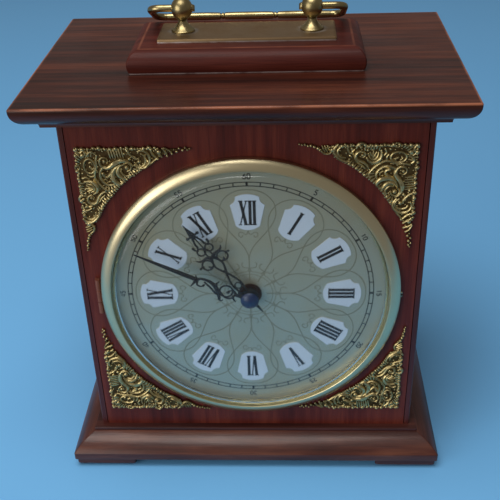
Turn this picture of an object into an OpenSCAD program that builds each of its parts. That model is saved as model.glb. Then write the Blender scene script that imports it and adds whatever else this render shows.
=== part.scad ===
// Mantel table clock: moulded wooden case, hinged bail handle, round glazed dial,
// four cast corner mounts and a battery movement behind a hinged back door.
// Millimetres. +Z is up, the dial faces -Y, and the origin is on the table under the case's middle.

/* [Case] */
// Width of the case left on each side of the bezel
case_side = 11; // [6:0.5:20]
// Height of the front panel over the bezel
case_over = 17.7; // [14:0.1:40]
// Height of the front panel under the bezel
case_under = 11.9; // [11:0.1:40]
// Depth from the front panel's face to the back
body_d = 108.5; // [80:0.5:160]
// Thickness of the case panels
panel_t = 8; // [6:0.5:12]
// Width of each side panel's edge strip seen from the front
strip_w = 2.8; // [1.5:0.1:5]
// Width of the groove between the strip and the front panel
groove_w = 0.4; // [0.2:0.1:1]
// Rounding of the strip's outer corner
strip_r = 0.9; // [0.3:0.1:1.5]
// Side of the square blocks glued into the corners
block_s = 12; // [8:1:18]

/* [Base] */
// How far the base board stands out from the body on all sides
base_out = 14.9; // [8:0.1:20]
// Thickness of the base board
base_h = 12.6; // [9:0.1:18]
// Height of the base board's upright edge
base_edge = 4.4; // [2:0.1:6]
// Radius of the base board's swelling moulding
base_round = 19.7; // [16:0.1:30]
// How far the step over the base stands out from the body
step_out = 4; // [2:0.5:7]
// Thickness of the step over the base
step_h = 1.8; // [1:0.1:4]
// Length of each foot along the width
foot_w = 33; // [20:1:45]
// Length of each foot along the depth
foot_d = 24; // [15:1:40]
// Height of each foot
foot_h = 4.3; // [2:0.1:8]
// How far the feet stand in from the base edge
foot_in = 1; // [0.5:0.5:5]
// Radius of the foot pads
pad_r = 6; // [4:0.5:9]
// Thickness of the foot pads
pad_h = 1; // [0.5:0.1:2]

/* [Top] */
// How far the top board stands out from the body's sides
top_side = 16; // [12:0.5:24]
// How far the top board stands out from the body's front and back
top_out = 15.5; // [12:0.5:24]
// Thickness of the top board
top_h = 9.3; // [7:0.1:14]
// Upright edge above the top board's round
top_edge = 1.6; // [0.5:0.1:3]
// Radius of the round under that edge
top_round = 7.45; // [4:0.05:10]
// Thickness of the cove board under the top board
cove_h = 3.1; // [2:0.1:6]
// Radius of the cove
cove_r = 2.75; // [1.5:0.05:4]

/* [Handle] */
// Width of the wooden handle block at its widest
block_w = 112; // [90:1:140]
// Depth of the wooden handle block at its widest
block_d = 55.3; // [45:0.1:70]
// Height of the wooden handle block
block_h = 10.6; // [7:0.1:16]
// Height of the block's widest line over the top board
block_mid = 4.1; // [2:0.1:6]
// Radius of the block's edge above that line
block_r_up = 6.5; // [4:0.1:6.5]
// Radius of the block's edge below that line
block_r_low = 9; // [5:0.1:12]
// Width of the brass plate
plate_w = 85.2; // [70:0.2:110]
// Depth of the brass plate
plate_d = 27.8; // [20:0.2:40]
// Thickness of the brass plate
plate_h = 1.7; // [1:0.1:3]
// Distance of each post from the middle
post_x = 31.2; // [25:0.1:40]
// Radius of the post's foot
post_foot_r = 5.7; // [4.5:0.1:8]
// Thickness of the foot's rim
post_rim_h = 0.9; // [0.5:0.1:1.5]
// Radius of the post's neck
post_neck_r = 2; // [1.7:0.1:3]
// Height of the ball's centre over the plate
ball_z = 10.8; // [9:0.1:14]
// Radius of the ball on each post
ball_r = 5.2; // [4.5:0.1:7]
// Radius of the stud under each post
stud_r = 1.9; // [1.5:0.1:2.5]
// Radius of the handle's rod
rod_r = 1.75; // [1.5:0.05:2.5]
// Distance of each handle arm's middle line from the middle
arm_x = 46.8; // [42:0.1:55]
// Distance from the pivots to the grip's middle line
bail_reach = 25; // [20:0.1:32]
// Radius of the rod's bends on the middle line
bend_r = 5; // [3.5:0.1:8]
// Radius of the grip at the middle of each of its three lengths
grip_r = 1.9; // [1.8:0.05:2.6]
// Distance of the grip's two grooves from the middle
grip_ring_x = 13.3; // [8:0.1:20]
// Radial clearance of the pivots in the balls
pivot_gap = 0.05; // [0.02:0.01:0.1]

/* [Dial] */
// Radius of the bezel's sight opening
sight_r = 70; // [63:0.5:80]
// Width of the bezel's band round that opening
bezel_w = 5; // [4.6:0.1:8]
// How far the bezel stands out from the panel
bezel_h = 3.3; // [2.5:0.1:6]
// Depth of the dial's face behind the panel's face
dial_in = 0.8; // [0.5:0.1:3]
// Thickness of the dial plate
dial_t = 1; // [0.5:0.1:2]
// How far the dial plate reaches past the sight opening
dial_lap = 2.5; // [2:0.1:3]
// How far the panel's edge reaches inside the sight opening
hole_lap = 4; // [2:0.5:10]
// Thickness of the glass
glass_t = 1.2; // [0.8:0.1:2]
// How far the glass stands out from the panel at its middle
glass_out = 12.4; // [11.5:0.1:15]
// Radius of the glass over its crown
glass_crown = 420; // [300:10:600]
// Radius of the glass at its shoulder
glass_shoulder = 12; // [9:0.5:14]
// Thickness of a chapter plaque
plaque_t = 0.3; // [0.2:0.1:0.6]
// Half width of a plaque at its shoulders
plaque_w = 8.3; // [7:0.1:9]
// Half width of a plaque at its two ends
plaque_end = 5.8; // [4:0.1:7]

/* [Hands] */
// Distance of the hour hand's middle in front of the panel
hour_out = 3.4; // [3:0.1:4]
// Distance of the minute hand's middle in front of the panel
minute_out = 5.8; // [5:0.1:6.2]
// Thickness of each hand
hand_t = 0.5; // [0.3:0.1:0.8]
// Length of the hour hand from the centre
hour_len = 52.1; // [45:0.1:54]
// Length of the minute hand from the centre
minute_len = 62.3; // [55:0.1:63]
// Angle of the hour hand, clockwise from twelve
hour_angle = -36.85; // [-180:0.05:180]
// Angle of the minute hand, clockwise from twelve
minute_angle = -64.24; // [-180:0.05:180]
// Width of the strokes that the hands are cut from
stroke_w = 0.8; // [0.6:0.05:1.2]
// Radius of the cap over the hands
cap_r = 4.6; // [3.5:0.1:6]
// Radius of the nut behind the hands
nut_r = 5.9; // [5:0.1:7]

/* [Corner mounts] */
// Distance of the mounts' outer corners from the body's sides
mount_side = 7.2; // [5:0.1:9]
// Distance of the upper mounts' corners from the body's top
mount_over = 11.8; // [8:0.1:14]
// Distance of the lower mounts' corners from the body's foot
mount_under = 12.3; // [7:0.1:13.5]
// Length of a mount's arms
mount_arm = 53.8; // [45:0.1:58]
// Length of the mount's straight outer edge before it tapers
mount_belly = 36; // [30:0.5:40]
// Thickness of the mount's ground
mount_t = 1.2; // [0.8:0.1:2]
// Spacing of the beads on the mount's edges
bead_step = 3.3; // [2.5:0.1:5]
// Radius of those beads
bead_r = 1.15; // [0.8:0.05:1.5]

/* [Movement] */
// Width and height of the movement case
move_s = 56; // [54:0.5:62]
// Thickness of the movement case
move_t = 18; // [17:0.5:24]
// Thickness of the movement case's walls
move_wall = 1.2; // [1:0.1:2]
// Thickness of the rubber washer before the movement
gasket_t = 0.5; // [0.3:0.1:1]
// Module of the motion work's teeth
tooth_m = 0.4; // [0.35:0.05:0.5]
// Radius of the battery cell
cell_r = 7.1; // [7:0.05:7.25]
// Radius of the setting knob
knob_r = 6; // [4:0.5:9]

/* [Back door] */
// Width of the case left on each side of the opening in the back panel
door_side = 34; // [26:0.5:46]
// Height of the back panel over the opening
door_over = 30; // [20:0.5:45]
// Height of the back panel under the opening
door_under = 25.6; // [18:0.1:40]
// Thickness of the door
door_t = 6.5; // [4:0.5:8]
// Gap around the door
door_gap = 0.5; // [0.3:0.1:1]
// Radius of the hinge knuckles
knuckle_r = 1.6; // [1.2:0.1:2.5]
// Radius of the hinge pins
pin_r = 0.8; // [0.6:0.05:1.2]

/* [Hidden] */
$fn = 96;
e = 0.01;
seat = 0.02;
pin_gap = 0.04;

bezel_r = sight_r + bezel_w;
dial_r = sight_r + dial_lap;
hole_r = sight_r - hole_lap;
body_w = 2 * (bezel_r + case_side);
body_h = 2 * bezel_r + case_over + case_under;
base_w = body_w + 2 * base_out;
top_w = body_w + 2 * top_side;
top_d = body_d + 2 * top_out;
front_y = -body_d / 2;
back_y = body_d / 2;
side_x = body_w / 2;
foot_z = pad_h + foot_h;
base_d = body_d + 2 * base_out;
step_z = foot_z + base_h;
body_z = step_z + step_h;
cove_z = body_z + body_h;
dial_z = body_z + case_under + bezel_r;
slab_z = cove_z + cove_h;
top_z = slab_z + top_h;
block_z = top_z + block_h;
plate_z = block_z + plate_h;
pivot_z = plate_z + ball_z;

slab_in = top_round;
cove_in = slab_in + cove_r;
front_half = side_x - strip_w - groove_w;
inner_x = side_x - panel_t;
mount_x = side_x - mount_side;
mount_up = bezel_r + case_over - mount_over;
mount_down = bezel_r + case_under - mount_under;

rebate_r = dial_r + 0.4;
rebate_d = dial_in + dial_t;
rim_in = sight_r + 0.1;
lip_d = 1.7;
glass_r = sight_r + 2.4;
bezel_gap = 0.2;
hinge_x = -(bezel_r + 1.8);
hinge_d = 1.6;
hinge_knuckle = 1.2;
hinge_pin = 0.6;
hinge_len = 20;
hinge_leaf_w = 4.3;
hinge_screw_x = 1.9;

face_y = front_y + dial_in;
move_y = face_y + dial_t + gasket_t;
move_back = move_y + move_t;
cover_y = move_back - move_wall;
bush_r = 4;
gasket_r = 11;
board_w = 44;
board_h = 14;
bush_bore = 2.6;
bush_out = 1.7;
nut_h = 1.3;
tube_r = 2.5;
tube_bore = 1.5;
arbor_r = 1.4;
minute_teeth = 10;
motion_teeth = 30;
motion_leaves = 8;
hour_teeth = 32;
motion_c = (minute_teeth + motion_teeth) * tooth_m / 2;
cell_len = 49.4;
nub_len = 1;
cell_z = -move_s / 2 + move_wall + cell_r + 0.15;
cell_y = move_y + move_t / 2 + 0.3;
cell_top = move_s / 2 - move_wall - 0.4;

rest_gap = 0.25;
rest_dz = grip_r + rest_gap;
grip_drop = pivot_z - block_z - rest_dz;
bail_tilt = asin(grip_drop / bail_reach);

door_w = body_w - 2 * door_side;
door_h = body_h - door_over - door_under;
door_z = body_z + door_under;
door_mid = door_z + door_h / 2;
catch_in = 10;
catch_out = 7;
catch_low = 16;
hinge_y = back_y + knuckle_r;
leaf_t = 0.8;
leaf_w = 9;
leaf_h = 22;
door_pin_x = -(door_w / 2 - door_gap / 2);
hinge_zs = [door_z + 22, door_z + door_h - 22];

wood_brown = [0.30, 0.13, 0.09];
wood_front = [0.33, 0.12, 0.09];
wood_plain = [0.72, 0.56, 0.38];
brass_gold = [0.83, 0.68, 0.40];
brass_dial = [0.62, 0.58, 0.47];
plaque_white = [0.82, 0.85, 0.88];
black_gloss = [0.04, 0.04, 0.06];
glass_clear = [0.85, 0.92, 0.95, 0.35];
plastic_black = [0.06, 0.06, 0.06];
plastic_white = [0.88, 0.87, 0.82];
steel_grey = [0.62, 0.62, 0.64];
pad_dark = [0.12, 0.10, 0.10];
cell_copper = [0.66, 0.42, 0.22];
board_green = [0.10, 0.30, 0.16];
coil_red = [0.55, 0.22, 0.12];

// Turns a profile drawn as outward distance and height into a board with that edge on four sides.
module moulded_board(w, d) {
  intersection() {
    rotate([90, 0, 0])
      linear_extrude(d + 2, center = true)
        edge_pair(w / 2) children();
    rotate([90, 0, 90])
      linear_extrude(w + 2, center = true)
        edge_pair(d / 2) children();
  }
}

// Puts a half profile at both ends of a half width, each one cut off just past the middle.
module edge_pair(half) {
  for (side = [0, 1])
    mirror([side, 0])
      intersection() {
        translate([half, 0])
          children();
        translate([-1, -1])
          square([half + 2, 30]);
      }
}

// Moves what follows to the dial's centre, turned so that its flat side faces the front.
module at_dial(out) {
  translate([0, front_y - out, dial_z])
    rotate([90, 0, 0])
      children();
}

// Half profile of the base board: upright edge, then one shallow swelling up to the step.
module base_profile() {
  run = base_out - step_out;
  rise = base_h - base_edge;
  half = sqrt(run * run + rise * rise) / 2;
  back = sqrt(base_round * base_round - half * half);
  cx = -run / 2 - back * rise / (2 * half);
  cz = base_edge + rise / 2 - back * run / (2 * half);
  translate([-base_w / 2, 0])
    square([base_w / 2, base_edge]);
  intersection() {
    translate([-base_w / 2, base_edge - e])
      square([base_w / 2, rise + e]);
    union() {
      translate([cx, cz])
        circle(base_round);
      translate([-base_w / 2, 0])
        square([base_w / 2 - base_out, base_h]);
    }
  }
}

module base_board() {
  color(wood_brown)
    translate([0, 0, foot_z])
      moulded_board(base_w, base_d)
        base_profile();
}

module base_step() {
  color(wood_brown)
    translate([-side_x - step_out, front_y - step_out, step_z])
      cube([body_w + 2 * step_out, body_d + 2 * step_out, step_h]);
}

// One foot: a long low block whose lower corners are rounded off.
module foot_block() {
  r = 1.5;
  intersection() {
    rotate([90, 0, 0])
      linear_extrude(foot_d, center = true)
        foot_side(foot_w, r);
    rotate([90, 0, 90])
      linear_extrude(foot_w, center = true)
        foot_side(foot_d, r);
  }
}

module foot_side(len, r) {
  translate([-len / 2, r])
    square([len, foot_h - r]);
  translate([-len / 2 + r, 0])
    square([len - 2 * r, foot_h]);
  for (side = [-1, 1])
    translate([side * (len / 2 - r), r])
      circle(r);
}

module feet() {
  color(wood_brown)
    for (sx = [-1, 1])
      for (sy = [-1, 1])
        translate([sx * (base_w / 2 - foot_in - foot_w / 2), sy * (base_d / 2 - foot_in - foot_d / 2), pad_h])
          foot_block();
}

module foot_pads() {
  color(pad_dark)
    for (sx = [-1, 1])
      for (sy = [-1, 1])
        translate([sx * (base_w / 2 - foot_in - foot_w / 2), sy * (base_d / 2 - foot_in - foot_d / 2), 0])
          cylinder(pad_h, r = pad_r);
}

module front_panel() {
  color(wood_front)
    difference() {
      translate([-front_half, front_y, body_z])
        cube([2 * front_half, panel_t, body_h]);
      at_dial(-panel_t - 1)
        cylinder(panel_t + 2, r = hole_r);
      at_dial(-rebate_d)
        cylinder(rebate_d + 1, r = rebate_r);
      hinge_mortise();
      mount_pin_holes(0.72);
    }
}

// Shallow recess that the bezel hinge's fixed leaf lies in.
module hinge_mortise() {
  translate([hinge_x - 1.3 - seat, front_y - 1, dial_z - hinge_len / 2 - seat])
    cube([hinge_leaf_w + 2 * seat, 1 + leaf_t, hinge_len + 2 * seat]);
  at_dial(-5)
    for (sz = [-1, 1])
      translate([hinge_x + hinge_screw_x, sz * 7])
        cylinder(5, r = 0.55);
}

// Plan of a side panel: full depth, stepped at the front so that the front panel lies inside its strip.
module side_plan() {
  difference() {
    translate([0, front_y])
      square([panel_t, body_d]);
    translate([-1, front_y - 1])
      square([panel_t - strip_w + 1, panel_t + 1]);
    translate([panel_t - strip_r, front_y - 1])
      square([strip_r + 1, strip_r + 1]);
  }
  translate([panel_t - strip_r, front_y + strip_r])
    circle(strip_r);
}

module side_panel_right() {
  color(wood_brown)
    translate([inner_x, 0, body_z])
      linear_extrude(body_h)
        side_plan();
}

module side_panel_left() {
  color(wood_brown)
    mirror([1, 0, 0])
      translate([inner_x, 0, body_z])
        linear_extrude(body_h)
          side_plan();
}

module back_panel() {
  color(wood_plain)
    difference() {
      translate([-inner_x, back_y - panel_t, body_z])
        cube([2 * inner_x, panel_t, body_h]);
      translate([-door_w / 2, back_y - panel_t - 1, door_z])
        cube([door_w, panel_t + 2, door_h]);
      door_screw_holes(-1, 0.75);
    }
}

module corner_blocks() {
  gap = 6;
  color(wood_plain)
    for (side = [0, 1])
      mirror([side, 0, 0]) {
        translate([inner_x - block_s, front_y + panel_t, body_z + gap])
          cube([block_s, block_s, body_h - 2 * gap]);
        translate([inner_x - block_s, back_y - panel_t - block_s, body_z + gap])
          cube([block_s, block_s, body_h - 2 * gap]);
      }
}

// Half profile of the cove board: a hollow under the top board, then a short upright edge.
module cove_profile() {
  difference() {
    translate([-top_w / 2, 0])
      square([top_w / 2 - slab_in, cove_h]);
    translate([-slab_in, cove_h - cove_r])
      circle(cove_r);
    translate([-slab_in - cove_r, -1])
      square([cove_r + 1, cove_h - cove_r + 1]);
  }
}

module cove_board() {
  color(wood_brown)
    difference() {
      translate([0, 0, cove_z])
        moulded_board(top_w, top_d)
          cove_profile();
      stud_holes();
    }
}

// Half profile of the top board: short upright edge above one large round.
module slab_profile() {
  translate([-top_w / 2, 0])
    square([top_w / 2 - top_round, top_h]);
  translate([-top_w / 2, top_h - top_edge])
    square([top_w / 2, top_edge]);
  intersection() {
    translate([-top_round, top_h - top_edge])
      circle(top_round);
    translate([-top_round, 0])
      square([top_round, top_h - top_edge + e]);
  }
}

module top_board() {
  color(wood_brown)
    difference() {
      translate([0, 0, slab_z])
        moulded_board(top_w, top_d)
          slab_profile();
      stud_holes();
    }
}

// Half profile of the handle block: a bullnose of two radii that meet on its widest line.
module block_profile() {
  difference() {
    translate([-block_w / 2, 0])
      square([block_w / 2, block_h]);
    difference() {
      translate([-block_r_up, block_mid])
        square([block_r_up + 1, block_r_up + 1]);
      translate([-block_r_up, block_mid])
        circle(block_r_up);
    }
    difference() {
      translate([-block_r_low, block_mid - block_r_low])
        square([block_r_low + 1, block_r_low]);
      translate([-block_r_low, block_mid])
        circle(block_r_low);
    }
  }
}

module handle_block() {
  color(wood_brown)
    difference() {
      translate([0, 0, top_z])
        moulded_board(block_w, block_d)
          block_profile();
      stud_holes();
    }
}

module handle_plate() {
  r = 0.5;
  color(brass_gold)
    difference() {
      union() {
        translate([-plate_w / 2, -plate_d / 2, block_z])
          cube([plate_w, plate_d, plate_h - r]);
        translate([-plate_w / 2 + r, -plate_d / 2 + r, block_z])
          cube([plate_w - 2 * r, plate_d - 2 * r, plate_h]);
      }
      stud_holes();
    }
}

module stud_holes() {
  for (sx = [-1, 1])
    translate([sx * post_x, 0, cove_z - 1])
      cylinder(plate_z - cove_z + 2, r = stud_r + 0.2);
}

// One turned post: rim, hollow cone, neck, bored ball, and the stud below it.
module post() {
  cone_h = 3.7;
  cone_r = post_foot_r - post_neck_r;
  difference() {
    union() {
      cylinder(post_rim_h, r = post_foot_r);
      rotate_extrude()
        difference() {
          square([post_foot_r, post_rim_h + cone_h]);
          translate([post_neck_r + cone_r, post_rim_h + cone_h])
            circle(cone_r);
          translate([post_foot_r, post_rim_h])
            square([1, cone_h + 1]);
        }
      cylinder(ball_z, r = post_neck_r);
      translate([0, 0, ball_z])
        sphere(ball_r);
      translate([0, 0, cove_z - plate_z - 7])
        cylinder(plate_z - cove_z + 7 + e, r = stud_r);
    }
    translate([0, 0, ball_z])
      rotate([0, 90, 0])
        cylinder(2 * ball_r + 2, r = rod_r + pivot_gap, center = true);
  }
}

module post_left() {
  color(brass_gold)
    translate([-post_x, 0, plate_z])
      post();
}

module post_right() {
  color(brass_gold)
    translate([post_x, 0, plate_z])
      post();
}

module post_nuts() {
  washer_h = 0.8;
  color(steel_grey)
    for (sx = [-1, 1])
      translate([sx * post_x, 0, cove_z])
        difference() {
          union() {
            translate([0, 0, -washer_h])
              cylinder(washer_h, r = 6);
            translate([0, 0, -washer_h - 3.2])
              cylinder(3.2, r = 4, $fn = 6);
          }
          translate([0, 0, -6])
            cylinder(7, r = stud_r + seat);
        }
}

// Handle in its own plane: pivots on the X axis, grip at reach below it.
module bail_shape() {
  pin_in = post_x - ball_r + 0.6;
  for (side = [0, 1])
    mirror([side, 0, 0]) {
      translate([pin_in, 0, 0])
        rotate([0, 90, 0])
          cylinder(arm_x - bend_r - pin_in, r = rod_r);
      translate([arm_x - bend_r, 0, -bend_r])
        rotate([90, 0, 0])
          rotate_extrude(angle = 90)
            translate([bend_r, 0])
              circle(rod_r);
      translate([arm_x, 0, -(bail_reach - bend_r)])
        cylinder(bail_reach - 2 * bend_r, r = rod_r);
      translate([arm_x - bend_r, 0, -(bail_reach - bend_r)])
        rotate([90, 90, 0])
          rotate_extrude(angle = 90)
            translate([bend_r, 0])
              circle(rod_r);
    }
  translate([0, 0, -bail_reach])
    grip();
}

// Half outline of one swelling length of the grip, as radius and distance along it.
function barrel_points(mid, half) = [
  [grip_r - 0.4, mid - half],
  [grip_r, mid - half / 2],
  [grip_r, mid + half / 2],
  [grip_r - 0.4, mid + half]
];

// Grip: three slightly swelling lengths parted by two fine grooves.
module grip() {
  end = arm_x - bend_r;
  groove = 0.45;
  inner = grip_ring_x - groove;
  outer = (end - grip_ring_x - groove) / 2;
  rotate([0, 90, 0])
    rotate_extrude()
      polygon(concat(
        [[0, -end]],
        barrel_points(outer - end, outer),
        [[grip_r - 0.7, -grip_ring_x]],
        barrel_points(0, inner),
        [[grip_r - 0.7, grip_ring_x]],
        barrel_points(end - outer, outer),
        [[0, end]]
      ));
}

module bail_handle() {
  color(brass_gold)
    translate([0, 0, pivot_z])
      rotate([90 - bail_tilt, 0, 0])
        bail_shape();
}

module dial_plate() {
  color(brass_dial)
    difference() {
      at_dial(-dial_in - dial_t)
        cylinder(dial_t, r = dial_r);
      at_dial(-dial_in - dial_t - 1)
        cylinder(dial_t + 2, r = bush_r + 0.1);
    }
}

module dial_rim() {
  color(brass_gold)
    difference() {
      at_dial(-dial_in)
        cylinder(dial_in, r = dial_r);
      at_dial(-dial_in - 1)
        cylinder(dial_in + 2, r = rim_in);
    }
}

// Outline of one chapter plaque, measured outward from the dial's centre.
module plaque_outline() {
  low = 39;
  high = 54.4;
  shoulder = 50.35;
  nick_r = 4;
  difference() {
    polygon([
      [-plaque_end, low],
      [plaque_end, low],
      [plaque_w, shoulder],
      [plaque_end, high],
      [-plaque_end, high],
      [-plaque_w, shoulder]
    ]);
    for (side = [-1, 1])
      translate([side * (plaque_w + 1.4), high - 0.4])
        circle(nick_r);
  }
  intersection() {
    translate([0, 43.9])
      circle(12);
    translate([-plaque_end, 45])
      square([2 * plaque_end, 12]);
  }
  intersection() {
    translate([0, 45.2])
      circle(8.5);
    translate([-plaque_end, 35])
      square([2 * plaque_end, 8]);
  }
}

module plaques() {
  color(plaque_white)
    at_dial(-dial_in)
      for (hour = [1:12])
        rotate(-hour * 30)
          linear_extrude(plaque_t)
            plaque_outline();
}

// Half profile of the bezel: radius across, distance from the panel upward.
module bezel_profile() {
  swell = bezel_h - 1.4;
  difference() {
    union() {
      translate([sight_r, lip_d])
        square([bezel_r - swell - sight_r, bezel_h - lip_d]);
      translate([glass_r + 0.2, bezel_gap])
        square([bezel_r - glass_r - 0.2, 1.4 - bezel_gap]);
      translate([glass_r + 0.2, bezel_gap])
        square([bezel_r - swell - glass_r - 0.2, bezel_h - bezel_gap]);
      intersection() {
        translate([bezel_r - swell, 1.4])
          circle(swell);
        translate([bezel_r - swell, 1.4])
          square([swell + 1, swell + 1]);
      }
    }
    translate([sight_r, bezel_h])
      rotate(45)
        square([1.4, 1.4], center = true);
  }
}

module bezel() {
  color(brass_gold)
    difference() {
      union() {
        at_dial(0)
          rotate_extrude()
            bezel_profile();
        translate([hinge_x, front_y - hinge_d, dial_z])
          cylinder(6.6, r = hinge_knuckle, center = true);
        translate([hinge_x, front_y - hinge_d - 0.5, dial_z - 3.3])
          cube([2.4, 1, 6.6]);
        at_dial(bezel_gap + 0.1)
          translate([bezel_r - 0.5, -1.6])
            cube([1.9, 3.2, 1.1]);
      }
      translate([hinge_x, front_y - hinge_d, dial_z])
        cylinder(8, r = hinge_pin + pin_gap, center = true);
    }
}

// Outer form of the glass, drawn in again by the inset.
module glass_form(inset) {
  intersection() {
    translate([0, glass_out - glass_crown])
      circle(glass_crown - inset, $fn = 720);
    union() {
      translate([0, -1])
        square([sight_r - glass_shoulder, glass_out + 2]);
      translate([sight_r - 0.1 - glass_shoulder, 0.1])
        circle(glass_shoulder - inset);
    }
  }
}

module bezel_glass() {
  foot = lip_d - 0.95;
  color(glass_clear)
    at_dial(0)
      rotate_extrude() {
        intersection() {
          translate([0, foot])
            square([sight_r + 5, glass_out + 5]);
          difference() {
            glass_form(0);
            glass_form(glass_t);
          }
        }
        translate([sight_r - glass_t - 0.1, foot])
          square([glass_r - sight_r + glass_t + 0.1, 0.95 - seat]);
      }
}

module glass_clips() {
  color(brass_gold)
    at_dial(bezel_gap + 0.05)
      for (angle = [-12.8, 40.6, 118.4, 176.8, 251.5])
        rotate(-angle)
          translate([-1.6, sight_r - 1.2])
            cube([3.2, glass_r + 0.2 - sight_r + 1.2, 0.45]);
}

// Fixed leaf of the bezel hinge with its two outer knuckles.
module bezel_hinge_leaf() {
  len = (hinge_len - 7) / 2;
  color(brass_gold)
    difference() {
      union() {
        translate([hinge_x - 1.3, front_y, dial_z - hinge_len / 2])
          cube([hinge_leaf_w, leaf_t, hinge_len]);
        for (sz = [-1, 1])
          translate([hinge_x, front_y - hinge_d, dial_z + sz * (3.5 + len / 2)]) {
            cylinder(len, r = hinge_knuckle, center = true);
            translate([-1.2, 0, -len / 2])
              cube([1, hinge_d + e, len]);
          }
      }
      translate([hinge_x, front_y - hinge_d, dial_z])
        cylinder(hinge_len + 1, r = hinge_pin + seat, center = true);
      at_dial(-leaf_t - 1)
        for (sz = [-1, 1])
          translate([hinge_x + hinge_screw_x, sz * 7])
            cylinder(3, r = 0.6);
    }
}

module bezel_hinge_pin() {
  color(brass_gold)
    translate([hinge_x, front_y - hinge_d, dial_z])
      cylinder(hinge_len, r = hinge_pin, center = true);
}

module bezel_hinge_screws() {
  color(steel_grey)
    for (sz = [-1, 1])
      at_dial(-4.6)
        translate([hinge_x + hinge_screw_x, sz * 7])
          cylinder(4.6, r = 0.5);
}

// Outline of a mount in its own corner: x inward along the top, y inward down the side.
module mount_outline() {
  tip = 1.3;
  waist = 5;
  polygon([
    [0, 0],
    [mount_arm, 0],
    [mount_arm, tip],
    [mount_belly, waist],
    [mount_belly * 0.58, mount_belly * 0.55],
    [mount_belly * 0.55, mount_belly * 0.58],
    [waist, mount_belly],
    [tip, mount_arm],
    [0, mount_arm]
  ]);
}

// A raised ring of the casting.
module mount_ring(x, y, r, wire) {
  translate([x, y, mount_t - 0.15])
    rotate_extrude()
      translate([r, 0])
        circle(wire);
}

// One cast corner mount: ground, rows of beads, rings and scroll eyes.
module mount_casting() {
  edge_count = floor(mount_belly / bead_step);
  arm_count = floor((mount_arm - mount_belly) / bead_step);
  difference() {
    union() {
      linear_extrude(mount_t)
        mount_outline();
      for (i = [0:edge_count])
        translate([0.9 + i * bead_step, 0.9, mount_t * 0.6])
          sphere(bead_r);
      for (i = [1:edge_count])
        translate([0.9, 0.9 + i * bead_step, mount_t * 0.6])
          sphere(bead_r);
      for (i = [2:arm_count]) {
        translate([mount_belly + i * bead_step, 1.6 - 0.15 * i, mount_t * 0.7])
          sphere(1.5 - 0.1 * i);
        translate([1.6 - 0.15 * i, mount_belly + i * bead_step, mount_t * 0.7])
          sphere(1.5 - 0.1 * i);
      }
      mount_ring(9, 5.6, 3.4, 0.8);
      mount_ring(26.6, 5.5, 2.4, 0.7);
      mount_ring(34.4, 3.6, 2.2, 0.6);
      mount_ring(13.2, 13.6, 4.6, 0.9);
      mount_ring(13.6, 21.6, 3.2, 0.8);
      mount_ring(5.4, 30.2, 2.8, 0.8);
      mount_ring(6, 20.6, 2, 0.6);
      mount_ring(20, 9, 2.2, 0.7);
      translate([13.2, 13.6, mount_t])
        sphere(1.7);
      translate([9, 5.6, mount_t])
        sphere(1.2);
    }
    translate([-5, -5, -10])
      cube([80, 80, 10]);
    mount_pin_places()
      translate([0, 0, -1])
        cylinder(5, r = 0.75);
  }
}

// The three nail places of one mount.
module mount_pin_places() {
  for (place = [[3.6, 3.6], [mount_belly + 3.2, 2.2], [2.2, mount_belly + 3.2]])
    translate(place)
      children();
}

// Sets a mount drawn in its own corner into corner number k, counted anticlockwise from the upper right.
module in_corner(k) {
  drop = k < 2 ? mount_up : mount_down;
  side = k == 0 || k == 3 ? 1 : -1;
  place = [side * mount_x, (k < 2 ? 1 : -1) * drop, 0];
  at_dial(0)
    translate(place)
      rotate(180 + 90 * k)
        children();
}

module mount_top_right() {
  color(brass_gold)
    in_corner(0)
      mount_casting();
}

module mount_top_left() {
  color(brass_gold)
    in_corner(1)
      mount_casting();
}

module mount_low_left() {
  color(brass_gold)
    in_corner(2)
      mount_casting();
}

module mount_low_right() {
  color(brass_gold)
    in_corner(3)
      mount_casting();
}

module mount_pin_holes(r) {
  for (k = [0:3])
    in_corner(k)
      mount_pin_places()
        translate([0, 0, -5])
          cylinder(6, r = r);
}

module mount_pins() {
  color(brass_gold)
    for (k = [0:3])
      in_corner(k)
        mount_pin_places() {
          translate([0, 0, -4.8])
            cylinder(4.8 + mount_t, r = 0.7);
          translate([0, 0, mount_t])
            cylinder(0.5, r = 1.1);
        }
}

// A stroke of the hands' pattern: a straight bar with round ends.
module stroke(x0, y0, x1, y1, w0, w1) {
  len = sqrt((x1 - x0) * (x1 - x0) + (y1 - y0) * (y1 - y0));
  translate([x0, y0])
    rotate(atan2(y1 - y0, x1 - x0)) {
      polygon([[0, -w0 / 2], [len, -w1 / 2], [len, w1 / 2], [0, w0 / 2]]);
      circle(w0 / 2);
      translate([len, 0])
        circle(w1 / 2);
    }
}

module ring_2d(x, y, r) {
  translate([x, y])
    difference() {
      circle(r + stroke_w / 2);
      circle(r - stroke_w / 2);
    }
}

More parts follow.
